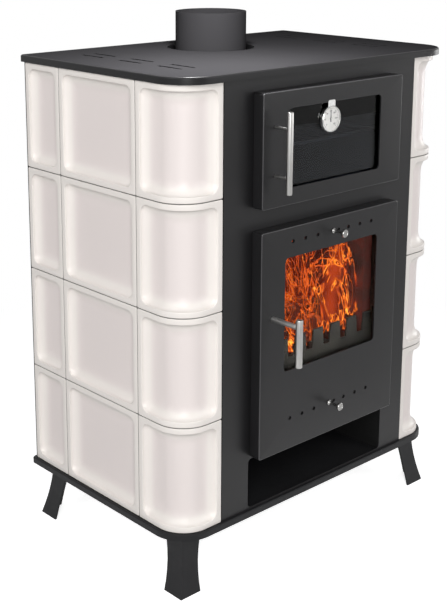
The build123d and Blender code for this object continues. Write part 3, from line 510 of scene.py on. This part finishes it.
# ---- mesh tools ------------
def finish_mesh(bm, name):
    """The mesh of a bmesh, which is freed."""
    mesh = bpy.data.meshes.new(name)
    bm.to_mesh(mesh)
    bm.free()
    return mesh


def add_object(name, data):
    """A new object in the scene."""
    made = bpy.data.objects.new(name, data)
    bpy.context.scene.collection.objects.link(made)
    return made


def finish_piece(bm, name, materials, body, nodes=(), sharp=math.radians(35)):
    """Turns a bmesh into a named piece that rides on a body and stands for CAD nodes."""
    bm.normal_update()
    mesh = finish_mesh(bm, name)
    for key in materials:
        mesh.materials.append(MATERIALS[key])
    mesh.polygons.foreach_set("use_smooth", [True] * len(mesh.polygons))
    mesh.set_sharp_from_angle(angle=sharp)
    piece = add_object(name, mesh)
    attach(piece, body)
    if nodes:
        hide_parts(*nodes)


def dress(key, *nodes):
    """Gives CAD nodes a finish, and shades their curved faces smoothly."""
    for node in nodes:
        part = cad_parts[node]
        part.data.materials.clear()
        part.data.materials.append(MATERIALS[key])
        part.data.polygons.foreach_set("use_smooth", [True] * len(part.data.polygons))
        weld = part.modifiers.new("weld", "WELD")
        weld.merge_threshold = 0.002 * MM
        split = part.modifiers.new("sharp_edges", "EDGE_SPLIT")
        split.split_angle = math.radians(32)


def outline(bm, width, height, radius, level):
    """Face in the shape of a rounded rectangle, centred, at a level above the XY plane."""
    made = bmesh.ops.create_grid(bm, x_segments=1, y_segments=1, size=0.5)["verts"]
    bmesh.ops.scale(bm, vec=(width, height, 1), verts=made)
    bmesh.ops.translate(bm, vec=(0, 0, level), verts=made)
    made = bmesh.ops.bevel(
        bm, geom=made, offset=radius, offset_type="OFFSET", segments=6, profile=0.5,
        affect="VERTICES", material=-1, clamp_overlap=False,
    )
    around = {face for vert in made["verts"] for face in vert.link_faces}
    return max(around, key=lambda face: face.calc_area())


def stacked(bm, levels, width, height, closed=False):
    """Skin over a stack of rounded rectangles given as (inset, corner radius, level)."""
    faces = [outline(bm, width - 2 * i, height - 2 * i, r, level) for i, r, level in levels]
    rings = [list(face.edges) for face in faces]
    drop = faces if closed else faces[1:-1]
    bmesh.ops.delete(bm, geom=drop, context="FACES_ONLY")
    pairs = list(zip(rings, rings[1:]))
    if closed:
        pairs.append((rings[-1], rings[0]))
    for low, high in pairs:
        bmesh.ops.bridge_loops(bm, edges=low + high)
    bmesh.ops.recalc_face_normals(bm, faces=bm.faces)


def block(bm, size, at):
    """Box of a size, centred on a point."""
    made = bmesh.ops.create_cube(bm, size=1)["verts"]
    bmesh.ops.scale(bm, vec=size, verts=made)
    bmesh.ops.translate(bm, vec=at, verts=made)
    return made


def turned(bm, profile, at, towards, steps=40):
    """Solid turned from (radius, height) points, standing at a point and pointing along a direction."""
    verts = [bm.verts.new((r, 0, h)) for r, h in profile]
    edges = [bm.edges.new(pair) for pair in zip(verts, verts[1:])]
    before = set(bm.verts) - set(verts)
    bmesh.ops.spin(
        bm, geom=verts + edges, cent=(0, 0, 0), axis=(0, 0, 1), angle=2 * math.pi, steps=steps, use_merge=True
    )
    made = [v for v in bm.verts if v not in before]
    bmesh.ops.remove_doubles(bm, verts=made, dist=1e-6)
    made = [v for v in bm.verts if v not in before]
    turn = Vector((0, 0, 1)).rotation_difference(Vector(towards)).to_matrix()
    bmesh.ops.rotate(bm, cent=(0, 0, 0), matrix=turn, verts=made)
    bmesh.ops.translate(bm, vec=at, verts=made)
    faces = list({face for vert in made for face in vert.link_faces})
    bmesh.ops.recalc_face_normals(bm, faces=faces)


def quarter_turn(steps, first=0):
    """Angles from 0 to a right angle, in equal steps."""
    return [math.pi / 2 * i / steps for i in range(first, steps + 1)]


def bar_profile(radius, length, edge):
    """Profile of a bar with rounded ends, from 0 to length."""
    arc = [(radius - edge + edge * math.sin(a), edge - edge * math.cos(a)) for a in quarter_turn(4)]
    return [(0, 0), *arc, *[(r, length - h) for r, h in reversed(arc)], (0, length)]


# ---- tiles ------------
TILE_THICKNESS = 24 * MM
COURSES = 4


def tile_levels(tiles):
    """Rounded rectangles of a tile, from its back over the rim and the cove to the field."""
    edge, rim, cove, depth, lip = tiles.edge, tiles.rim, tiles.cove, tiles.depth, tiles.lip
    plan = edge + 1.4 * MM             # corner radius of the tile's outline
    sag = 0.02 * MM                    # by which the rim's inner side lies lower than its outer side
    tighten = 2.5                      # the cove runs this many times further than its corners shrink
    levels = [(0, plan, -TILE_THICKNESS), (0, plan, -edge)]
    for a in quarter_turn(4, first=1):
        inset = edge * (1 - math.cos(a))
        levels.append((inset, plan - inset, -edge * (1 - math.sin(a))))
    for a in quarter_turn(4):
        inset = rim - lip * (1 - math.sin(a))
        levels.append((inset, tiles.corner + rim - inset, -sag - lip * (1 - math.cos(a))))
    for a in quarter_turn(12, first=1):
        run = cove * (1 - math.cos(a))
        levels.append((rim + run, tiles.corner - run / tighten, -lip - (depth - lip) * math.sin(a)))
    return levels


def tile_mesh(bm, tiles, face_x, start_y, low, length, height):
    """One tile of the left side: flat where it lies on the side, bent where it passes the corner."""
    bend = tiles.bend
    corner = Vector((face_x + bend, FRONT_Y + bend))
    side = start_y - corner.y
    arc = bend * math.pi / 2
    scratch = bmesh.new()
    recess = scratch.verts.layers.float.new("recess")
    seam = scratch.verts.layers.float.new("seam")
    stacked(scratch, tile_levels(tiles), length, height)
    bmesh.ops.translate(scratch, vec=(length / 2, height / 2, 0), verts=scratch.verts)
    if length > side:
        bend_steps, side_steps = 22, 3
        cuts = [side + arc * i / bend_steps for i in range(bend_steps + 1)]
        cuts += [side * i / side_steps for i in range(1, side_steps)]
        for cut in cuts:
            geom = scratch.verts[:] + scratch.edges[:] + scratch.faces[:]
            bmesh.ops.bisect_plane(scratch, geom=geom, dist=1e-7, plane_co=(cut, 0, 0), plane_no=(1, 0, 0))
    for vert in scratch.verts:
        u, v, w = vert.co
        vert[recess] = min(1.0, max(0.0, -w / tiles.depth)) if tiles.rim < v < height - tiles.rim else 0.0
        outside = min(u, v, length - u, height - v) < tiles.rim / 2
        vert[seam] = min(1.0, -w / tiles.edge) if outside else 0.0
        if u <= side:
            vert.co = (face_x - w, start_y - u, low + v)
        elif u <= side + arc:
            a = (u - side) / bend
            vert.co = (corner.x - (bend + w) * math.cos(a), corner.y - (bend + w) * math.sin(a), low + v)
        else:
            vert.co = (corner.x + u - side - arc, FRONT_Y - w, low + v)
    mesh = finish_mesh(scratch, "scratch")
    bm.from_mesh(mesh)
    bpy.data.meshes.remove(mesh)


class STOVE_OT_tiles(bpy.types.Operator):
    """Glazed tiles with raised rims and coved fields, flat and bent round the corners"""

    bl_idname = "stove.tiles"
    bl_label = "Tiles"

    def execute(self, context):
        tiles = context.scene.stove.tiles
        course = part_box("corner_tile_left_1")
        height = course[1].z - course[0].z
        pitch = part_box("corner_tile_left_2")[0].z - course[0].z
        for side in ("left", "right"):
            rows = {f"rear_tiles_{side}": range(COURSES)}
            for row in range(COURSES):
                rows[f"middle_tile_{side}_{row + 1}"] = [row]
                rows[f"corner_tile_{side}_{row + 1}"] = [row]
            for node in rows:
                low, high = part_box(node.replace("right", "left"))
                length = high.y - low.y
                if node.startswith("corner"):
                    straight = high.y - FRONT_Y - tiles.bend
                    length = straight + tiles.bend * math.pi / 2 + high.x - low.x - tiles.bend
                bm = bmesh.new()
                bm.verts.layers.float.new("recess")
                bm.verts.layers.float.new("seam")
                for row in rows[node]:
                    tile_mesh(bm, tiles, low.x, high.y, course[0].z + pitch * row, length, height)
                if side == "right":
                    bmesh.ops.scale(bm, vec=(-1, 1, 1), verts=bm.verts)
                    bmesh.ops.reverse_faces(bm, faces=bm.faces)
                finish_piece(bm, "glazed_" + node, ["glaze"], "stove", [node])
        return {"FINISHED"}


# ---- sheet metal and plates ------------
class STOVE_OT_plates(bpy.types.Operator):
    """Top plate, base plate, legs and flue collar"""

    bl_idname = "stove.plates"
    bl_label = "Plates and legs"

    def execute(self, context):
        dress("top", "top_plate")
        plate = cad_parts["top_plate"]
        plate.data.materials.append(MATERIALS["rim"])
        # the top face gets the lighter paint as painted sheen, the sides the plain paint
        for face in plate.data.polygons:
            face.material_index = 0 if face.normal.z > SQUARE_ON else 1
        dress("base", "base_plate", "leg_front_left", "leg_front_right", "leg_rear_left", "leg_rear_right")
        # the flue collar's lighter paint is painted sheen
        dress("flue", "flue_collar")
        return {"FINISHED"}


class STOVE_OT_body(bpy.types.Operator):
    """Front panel, casings, back panel, niche and hinges"""

    bl_idname = "stove.body"
    bl_label = "Body sheets"

    def execute(self, context):
        dress("paint", "front_panel", "door_hinges")
        dress("sheet", "casing_left", "casing_right", "back_panel")
        dress("niche", "niche_liner")
        return {"FINISHED"}


class STOVE_OT_chamber(bpy.types.Operator):
    """Fire chamber with its bricks, grate, baffle, log guard and ash pan"""

    bl_idname = "stove.chamber"
    bl_label = "Fire chamber"

    def execute(self, context):
        dress("chamber", "fire_chamber")
        dress("guard", "log_guard")
        dress("brick", "firebrick_lining")
        dress("baffle", "baffle_plate")
        dress("grate", "grate")
        dress("pan", "ash_pan")
        return {"FINISHED"}


class STOVE_OT_oven(bpy.types.Operator):
    """Oven box with its shelf and catch"""

    bl_idname = "stove.oven"
    bl_label = "Oven"

    def execute(self, context):
        dress("oven", "oven_box")
        dress("shelf", "oven_shelf")
        dress("catch", "oven_catch")
        return {"FINISHED"}


class STOVE_OT_doors(bpy.types.Operator):
    """Door shells, inner frames, panes and clips"""

    bl_idname = "stove.doors"
    bl_label = "Doors"

    def execute(self, context):
        dress("paint", "oven_door_shell", "fire_door_shell")
        for node in ("oven_door_shell", "fire_door_shell"):
            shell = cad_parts[node]
            shell.data.materials.append(MATERIALS["door_edge_highlight"])
            for face in shell.data.polygons:
                # the rounded front edges get the lighter paint as a painted highlight
                face.material_index = 1 if GLANCING < -face.normal.y < SQUARE_ON else 0
        dress("band", "oven_door_frame")
        dress("frame", "fire_door_frame")
        dress("oven_glass", "oven_glass")
        dress("fire_glass", "fire_glass")
        dress("clip", "glass_clips")
        return {"FINISHED"}


def squared(share):
    """A sine or cosine pushed outwards, so that a circle becomes a rounded square."""
    return math.copysign(abs(share) ** 0.7, share)


class STOVE_OT_seals(bpy.types.Operator):
    """Woven rope seals in the door frames' channels"""

    bl_idname = "stove.seals"
    bl_label = "Rope seals"

    def execute(self, context):
        for door in ("oven", "fire"):
            node = f"{door}_door_seal"
            low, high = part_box(node)
            middle = (low + high) / 2
            half_depth = (high.y - low.y) / 2
            half_width, corner, steps = 5.4 * MM, 14 * MM, 12
            levels = []
            for i in range(steps):
                a = 2 * math.pi * i / steps
                inset = half_width * (1 - squared(math.cos(a)))
                levels.append((inset, corner - inset, half_depth * squared(math.sin(a))))
            bm = bmesh.new()
            stacked(bm, levels, high.x - low.x, high.z - low.z, closed=True)
            bmesh.ops.rotate(bm, cent=(0, 0, 0), matrix=Matrix.Rotation(math.pi / 2, 3, "X"), verts=bm.verts)
            bmesh.ops.translate(bm, vec=middle, verts=bm.verts)
            finish_piece(bm, f"woven_{node}", ["rope"], f"{door}_door", [node])
        return {"FINISHED"}


# ---- handles and knobs ------------
class STOVE_OT_handles(bpy.types.Operator):
    """Bar handles of the two doors and the latch's spindle"""

    bl_idname = "stove.handles"
    bl_label = "Handles"

    def execute(self, context):
        low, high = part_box("oven_handle")
        radius, length = (high.x - low.x) / 2, high.z - low.z
        x, y = (low.x + high.x) / 2, low.y + radius
        post_radius, post_shares = 3.2 * MM, (0.195, 0.792)
        bm = bmesh.new()
        turned(bm, bar_profile(radius, length, 1.2 * MM), (x, y, low.z), (0, 0, 1))
        for share in post_shares:
            post = [(post_radius, 0), (post_radius, DOOR_FACE - y)]
            turned(bm, post, (x, y, low.z + length * share), (0, 1, 0), 24)
        finish_piece(bm, "oven_door_bar", ["bar"], "oven_door", ["oven_handle"])

        low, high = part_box("fire_handle_bar")
        radius = (high.x - low.x) / 2
        bm = bmesh.new()
        at = ((low.x + high.x) / 2, (low.y + high.y) / 2, low.z)
        turned(bm, bar_profile(radius, high.z - low.z, 1.4 * MM), at, (0, 0, 1))
        finish_piece(bm, "fire_door_bar", ["bar"], "fire_handle", ["fire_handle_bar"])
        dress("spindle", "fire_latch")
        return {"FINISHED"}


def knob_profile(radius, length, skin):
    """Profile of a knob: stem up to the door's skin, collar, waist, and a head with a sunken end."""
    stem, collar, waist, sunk = 3 * MM, 5.4 * MM, 2.7 * MM, 0.8 * MM
    return [
        (0, 0), (stem, 0), (stem, skin), (collar, skin), (collar, skin + 1.6 * MM),
        (3.4 * MM, skin + 4 * MM), (waist, skin + 7 * MM), (waist, length - 10 * MM),
        (3.6 * MM, length - 8 * MM), (radius - 0.7 * MM, length - 5.4 * MM),
        (radius, length - 4.6 * MM), (radius, length - 1 * MM), (radius - 0.9 * MM, length),
        (radius - 2 * MM, length - 0.1 * MM), (radius - 2.6 * MM, length - sunk), (0, length - sunk),
    ]


class STOVE_OT_air_controls(bpy.types.Operator):
    """Air slides and their turned knobs"""

    bl_idname = "stove.air_controls"
    bl_label = "Air controls"

    def execute(self, context):
        for level in ("upper", "lower"):
            node = f"{level}_air_knob"
            low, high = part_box(node)
            gap = 0.4 * MM                       # between the door's skin and the collar
            profile = knob_profile((high.x - low.x) / 2, high.y - low.y, high.y - DOOR_FACE + gap)
            bm = bmesh.new()
            at = ((low.x + high.x) / 2, high.y, (low.z + high.z) / 2)
            turned(bm, profile, at, (0, -1, 0), 36)
            finish_piece(bm, f"turned_{level}_knob", ["turned"], f"{level}_air_control", [node])
            dress("slide", f"{level}_air_slide")
        return {"FINISHED"}


# ---- thermometer ------------
DIAL_THICKNESS = 3 * MM
PRINT_THICKNESS = 0.12 * MM
PRINT_LEVEL = 0.05 * MM            # from the dial's face to the middle of the print
SCALE_START = -135                 # degrees from the top of the dial
TICK_STEP = 9                      # degrees between ticks
TICKS = 31
LONG_EVERY = 5
VALUE_STEP = 10                    # what the scale reads from tick to tick
NUMBER_RADIUS = 15.2 * MM
NUMBER_SIZE = 4.6 * MM


def text_mesh(bm, words, size, at, thickness):
    """Adds raised characters that face -Y, centred on a point."""
    curve = bpy.data.curves.new("number", "FONT")
    curve.body = words
    curve.size = size
    curve.align_x = "CENTER"
    curve.align_y = "CENTER"
    curve.extrude = thickness / 2
    scratch = add_object("number", curve)
    bpy.context.view_layer.update()
    mesh = bpy.data.meshes.new_from_object(scratch)
    mesh.transform(Matrix.Translation(at) @ Matrix.Rotation(math.pi / 2, 4, "X"))
    bpy.data.objects.remove(scratch)
    bpy.data.curves.remove(curve)
    bm.from_mesh(mesh)
    bpy.data.meshes.remove(mesh)


def case_profile(radius, bore, depth):
    """Profile of the thermometer's case: floor, rounded wall and the bore for the dial."""
    floor = 1.5 * MM
    return [
        (0, 0), (radius - 0.8 * MM, 0), (radius, 0.8 * MM), (radius, depth - 1.6 * MM),
        (radius - 0.5 * MM, depth - 0.5 * MM), (radius - 1 * MM, depth),
        (bore + 0.1 * MM, depth - 0.3 * MM), (bore, depth - 0.9 * MM), (bore, floor), (0, floor),
    ]


def dial_profile(bore):
    """Profile of the dial: a plate, and the pivot that carries the needle."""
    edge, pivot, face, tip = bore - 0.05 * MM, 1 * MM, DIAL_THICKNESS, 5 * MM
    return [(0, 0), (edge, 0), (edge, face), (pivot, face), (pivot, tip), (0, tip)]


def scale_mesh(bm, centre, bore):
    """Raised ticks round the dial, every fifth one long and with its number."""
    for number in range(TICKS):
        turn = math.radians(SCALE_START + TICK_STEP * number)
        long = number % LONG_EVERY == 0
        width, reach, inset = (0.9, 3.4, 4.6) if long else (0.5, 1.8, 3.8)      # in mm
        tick = block(bm, (width * MM, PRINT_THICKNESS, reach * MM), (0, 0, bore - inset * MM))
        bmesh.ops.rotate(bm, cent=(0, 0, 0), matrix=Matrix.Rotation(turn, 3, "Y"), verts=tick)
        bmesh.ops.translate(bm, vec=centre, verts=tick)
        if long:
            spot = centre + NUMBER_RADIUS * Vector((math.sin(turn), 0, math.cos(turn)))
            text_mesh(bm, str(VALUE_STEP * number), NUMBER_SIZE, spot, PRINT_THICKNESS)


class STOVE_OT_thermometer(bpy.types.Operator):
    """Oven thermometer: case with its hook, dial with a scale, needle and lens"""

    bl_idname = "stove.thermometer"
    bl_label = "Thermometer"

    def execute(self, context):
        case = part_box("thermometer_case")
        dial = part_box("thermometer_dial")
        x, z = (dial[0].x + dial[1].x) / 2, (dial[0].z + dial[1].z) / 2
        radius, bore = (case[1].x - case[0].x) / 2, (dial[1].x - dial[0].x) / 2
        bm = bmesh.new()
        turned(bm, case_profile(radius, bore, case[1].y - case[0].y), (x, case[1].y, z), (0, -1, 0), 64)
        overlap = 2 * MM                     # of the hook and the case
        self.add_hook(bm, x, z + radius - overlap, case[1].z)
        finish_piece(bm, "thermometer_shell", ["case"], "oven_door", ["thermometer_case"])

        bm = bmesh.new()
        turned(bm, dial_profile(bore), (x, dial[1].y, z), (0, -1, 0), 64)
        plate_faces = len(bm.faces)
        scale_mesh(bm, Vector((x, dial[1].y - DIAL_THICKNESS - PRINT_LEVEL, z)), bore)
        bm.faces.ensure_lookup_table()
        for face in bm.faces[plate_faces:]:
            face.material_index = 1
        finish_piece(
            bm, "dial_with_scale", ["dial", "print"], "oven_door", ["thermometer_dial"]
        )
        dress("print", "thermometer_needle")
        dress("lens", "thermometer_lens")
        return {"FINISHED"}

    def add_hook(self, bm, x, low, high):
        """The case's flat hook against the door, with its upper corners rounded."""
        width, thickness, corner = 20 * MM, 1.2 * MM, 3 * MM
        middle = Vector((x, DOOR_FACE - thickness / 2, (high + low) / 2))
        hook = block(bm, (width, thickness, high - low), middle)
        corners = [
            edge for edge in bm.edges
            if all(vert in hook and vert.co.z > middle.z for vert in edge.verts)
            and abs(edge.verts[0].co.y - edge.verts[1].co.y) > thickness / 2
        ]
        bmesh.ops.bevel(
            bm, geom=corners, offset=corner, offset_type="OFFSET", segments=4, profile=0.5,
            affect="EDGES", material=-1,
        )


# ---- fire ------------
class STOVE_OT_firewood(bpy.types.Operator):
    """Charred logs on the grate"""

    bl_idname = "stove.firewood"
    bl_label = "Firewood"

    def execute(self, context):
        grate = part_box("grate")[1].z
        # of each log: place across, place from front to back, radius, length, turn in degrees
        lower = (
            (-0.02, -0.075, 0.036, 0.26, 4), (0.03, 0.00, 0.04, 0.27, -7), (-0.03, 0.085, 0.038, 0.25, 5)
        )
        upper = ((0.0, -0.03, 0.03, 0.23, 32), (0.02, 0.06, 0.03, 0.22, -30))
        upper_lift, taper, bark_depth = 0.052, 0.93, 0.14
        for number, (x, y, radius, length, turn) in enumerate(lower + upper):
            bm = bmesh.new()
            bmesh.ops.create_cone(
                bm, cap_ends=True, segments=18, radius1=radius, radius2=radius * taper, depth=length
            )
            along = [e for e in bm.edges if abs(e.verts[0].co.z - e.verts[1].co.z) > length / 2]
            bmesh.ops.subdivide_edges(bm, edges=along, cuts=14, use_grid_fill=True)
            for vert in bm.verts:
                bumps = noise.noise(Vector((vert.co.x * 30, vert.co.y * 30, vert.co.z * 12 + 7 * number)))
                vert.co.x *= 1 + bark_depth * bumps
                vert.co.y *= 1 + bark_depth * bumps
            lie = Matrix.Rotation(math.radians(90), 3, "Y")
            spin = Matrix.Rotation(math.radians(turn), 3, "Z")
            bmesh.ops.rotate(bm, cent=(0, 0, 0), matrix=spin @ lie, verts=bm.verts)
            lift = upper_lift if number >= len(lower) else 0.0
            bmesh.ops.translate(bm, vec=(x, y, grate + radius + lift), verts=bm.verts)
            finish_piece(bm, f"burning_log_{number + 1}", ["bark"], "stove", sharp=math.radians(60))
        return {"FINISHED"}


class STOVE_OT_flames(bpy.types.Operator):
    """Curved sheets of flame over the logs"""

    bl_idname = "stove.flames"
    bl_label = "Flames"

    def execute(self, context):
        fire = context.scene.stove.fire
        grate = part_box("grate")[1].z
        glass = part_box("fire_glass")[0].y
        near, reach = -0.16, 0.25                 # place of the first sheet, and from there to the last
        half_room, room_front, room_back = 0.15, -0.172, 0.19      # limits that no sheet passes
        view_slope = 0.39                         # the sheets further back end lower
        widest, narrowing, shortening = 0.305, 0.03, 0.07          # every second or third sheet is smaller
        clear, raised = 0.012, 0.045              # over the grate, and more for the sheets in front
        side_fade, foot_fade, tip_fade = 6, 9, 4.5
        bow_depth, sway_depth, sway_width, taper = 0.05, 0.035, 0.022, 0.18
        for number in range(fire.flames):
            share = number / max(1, fire.flames - 1)
            bm = bmesh.new()
            rise = bm.verts.layers.float.new("rise")
            fade = bm.verts.layers.float.new("fade")
            bmesh.ops.create_grid(bm, x_segments=26, y_segments=34, size=0.5)
            width = widest - narrowing * (number % 2)
            depth = near + reach * share**1.5
            foot = grate + clear + raised * max(0, 1 - 2 * share)
            tall = fire.height * (1 - shortening * (number % 3))
            height = grate + tall - view_slope * (depth - glass) - foot
            for vert in bm.verts:
                u, v = vert.co.x * 2, vert.co.y + 0.5
                vert[rise] = v
                vert[fade] = min(1, side_fade * (1 - abs(u))) * min(1, foot_fade * v)
                vert[fade] *= min(1, tip_fade * (1 - v))
                sway = noise.noise(Vector((u * 1.3, v * 2.2, 11 + 3.7 * number)))
                bow = bow_depth * math.sin(u * 2.1 + number * 2.3) + sway_depth * sway
                x = u * width / 2 * (1 - taper * v) + sway_width * sway
                vert.co = (x, depth + bow * (0.25 + share), foot + v * height)
            turn = Matrix.Rotation(math.radians(-6 + 7 * (number % 3)), 3, "Z")
            bmesh.ops.rotate(bm, cent=(0, near, 0), matrix=turn, verts=bm.verts)
            for vert in bm.verts:
                vert.co.x = max(-half_room, min(half_room, vert.co.x))
                vert.co.y = max(room_front, min(room_back, vert.co.y))
            finish_piece(bm, f"flame_{number + 1}", ["flame"], "stove", sharp=math.radians(80))
        return {"FINISHED"}


# ---- stage ------------
def white_for_camera(tree, shown, lit):
    """Shows one shader to the camera and to mirrors and glass, and lights the object with the other."""
    path = tree.nodes.new("ShaderNodeLightPath")
    seen = path.outputs["Is Camera Ray"]
    for ray in ("Is Glossy Ray", "Is Transmission Ray"):
        either = tree.nodes.new("ShaderNodeMath")
        either.operation = "MAXIMUM"
        tree.links.new(seen, either.inputs[0])
        tree.links.new(path.outputs[ray], either.inputs[1])
        seen = either.outputs[0]
    mix = tree.nodes.new("ShaderNodeMixShader")
    for output, socket in zip((seen, lit, shown), mix.inputs):
        tree.links.new(output, socket)
    return mix.outputs[0]


def facing(aim):
    """The turn of a lamp or camera that looks along a direction."""
    return aim.to_track_quat("-Z", "Y").to_euler()


class STOVE_OT_stage(bpy.types.Operator):
    """Pale floor, soft lamps and the camera"""

    bl_idname = "stove.stage"
    bl_label = "Stage"

    def execute(self, context):
        scene, stage = context.scene, context.scene.stove.stage
        self.make_world(scene, stage)
        self.make_floor(stage)
        middle, plate = (0, 0, 0.55), (-0.24, -0.13, 1.0)          # what the lamps are turned to
        lamps = (
            ("key_lamp", (-2.45, -2.55, 1.8), (1.2, 2.2), middle, stage.key),
            ("front_lamp", (1.7, -3.4, 1.7), (2.0, 2.4), middle, stage.fill),
            ("side_lamp", (-3.7, -0.5, 2.3), (1.8, 2.0), middle, stage.fill),
            ("back_lamp", (2.0, 2.7, 1.9), (0.7, 0.8), middle, stage.back),
            ("right_lamp", (3.6, -0.6, 0.7), (1.6, 1.0), (0, 0, 0.5), stage.fill / 2),
            ("top_lamp", (-0.24, -0.13, 1.42), (0.12, 0.12), plate, stage.top),
        )
        for lamp in lamps:
            self.add_lamp(*lamp)
        self.make_camera(scene, stage)
        scene.view_settings.view_transform = "Standard"
        return {"FINISHED"}

    def make_world(self, scene, stage):
        """White for the camera, and a weak white light for the object."""
        world = bpy.data.worlds.new("studio")
        world.use_nodes = True
        tree = world.node_tree
        lit = tree.nodes["Background"]
        shown = tree.nodes.new("ShaderNodeBackground")
        for background, strength in ((lit, stage.sky), (shown, 1.0)):
            background.inputs["Color"].default_value = (1, 1, 1, 1)
            background.inputs["Strength"].default_value = strength
        mixed = white_for_camera(tree, shown.outputs[0], lit.outputs[0])
        tree.links.new(mixed, tree.nodes["World Output"].inputs["Surface"])
        scene.world = world

    def make_floor(self, stage):
        """A pale disc that takes a soft shadow near the object and fades to white further out."""
        bm = bmesh.new()
        bmesh.ops.create_circle(bm, cap_ends=True, segments=96, radius=6.0)
        floor = add_object("floor", finish_mesh(bm, "floor"))
        f = Finish("floor")
        f.set(base_color=tuple(stage.floor), roughness=0.9, specular_ior_level=0.1)
        lift = f.add("Emission", strength=0.76)
        pale = f.join("AddShader", f.shader.outputs[0], lift.outputs[0])
        white = f.add("Emission", color=(1, 1, 1))
        distance = f.join("VectorMath", f.place)
        distance.operation = "LENGTH"
        pale_up_to, white_from = 0.45, 1.5
        fade = f.span(distance.outputs["Value"], pale_up_to, white_from)
        blend = f.join("MixShader", fade, pale.outputs[0], white.outputs[0])
        dull = f.add("BsdfDiffuse", color=(0.28, 0.28, 0.28))
        mixed = white_for_camera(f.tree, blend.outputs[0], dull.outputs[0])
        f.fill(f.tree.nodes["Material Output"], surface=mixed)
        floor.data.materials.append(f.material)

    def add_lamp(self, name, at, size, target, power):
        """A soft lamp that the camera doesn't see, turned to a target."""
        lamp = bpy.data.lights.new(name, "AREA")
        lamp.shape = "RECTANGLE"
        lamp.size, lamp.size_y = size
        lamp.energy = power
        holder = add_object(name, lamp)
        holder.location = at
        holder.rotation_euler = facing(Vector(target) - Vector(at))
        holder.visible_camera = False

    def make_camera(self, scene, stage):
        """The camera, with a shifted lens."""
        camera = bpy.data.cameras.new("camera")
        camera.sensor_fit = "VERTICAL"
        camera.sensor_height = 36
        camera.sensor_width = 33
        camera.lens = stage.lens
        camera.shift_x = stage.slide
        camera.shift_y = stage.shift
        holder = add_object("camera", camera)
        holder.location = stage.camera
        flat = math.cos(stage.pitch)
        aim = Vector((math.sin(stage.azimuth) * flat, math.cos(stage.azimuth) * flat, -math.sin(stage.pitch)))
        holder.rotation_euler = facing(aim)
        scene.camera = holder


class STOVE_PT_panel(bpy.types.Panel):
    """Lists the pieces of the stove"""

    bl_label = "Tiled Stove"
    bl_idname = "STOVE_PT_panel"
    bl_space_type = "VIEW_3D"
    bl_region_type = "UI"
    bl_category = "Stove"

    def draw(self, context):
        for operator in OPERATORS:
            self.layout.operator(operator.bl_idname)
        for group in ("tiles", "metal", "fire", "stage"):
            settings = getattr(context.scene.stove, group)
            box = self.layout.box()
            box.label(text=group.capitalize())
            for key in settings.__annotations__:
                box.prop(settings, key)


OPERATORS = (
    STOVE_OT_tiles, STOVE_OT_plates, STOVE_OT_body, STOVE_OT_chamber, STOVE_OT_oven, STOVE_OT_doors,
    STOVE_OT_seals, STOVE_OT_handles, STOVE_OT_air_controls, STOVE_OT_thermometer, STOVE_OT_firewood,
    STOVE_OT_flames, STOVE_OT_stage,
)
CLASSES = (
    TileSettings, MetalSettings, FireSettings, StageSettings, StoveSettings, *OPERATORS, STOVE_PT_panel,
)


def register():
    """Registers the classes and hangs the settings on the scene."""
    for cls in CLASSES:
        bpy.utils.register_class(cls)
    bpy.types.Scene.stove = PointerProperty(type=StoveSettings)


def unregister():
    """Takes the settings and classes away again."""
    del bpy.types.Scene.stove
    for cls in reversed(CLASSES):
        bpy.utils.unregister_class(cls)


def main():
    """Builds everything."""
    register()
    MATERIALS.update(make_materials(bpy.context.scene.stove))
    bpy.ops.stove.tiles()
    bpy.ops.stove.plates()
    bpy.ops.stove.body()
    bpy.ops.stove.chamber()
    bpy.ops.stove.oven()
    bpy.ops.stove.doors()
    bpy.ops.stove.seals()
    bpy.ops.stove.handles()
    bpy.ops.stove.air_controls()
    bpy.ops.stove.thermometer()
    bpy.ops.stove.firewood()
    bpy.ops.stove.flames()
    bpy.ops.stove.stage()


if __name__ == "__main__":
    main()
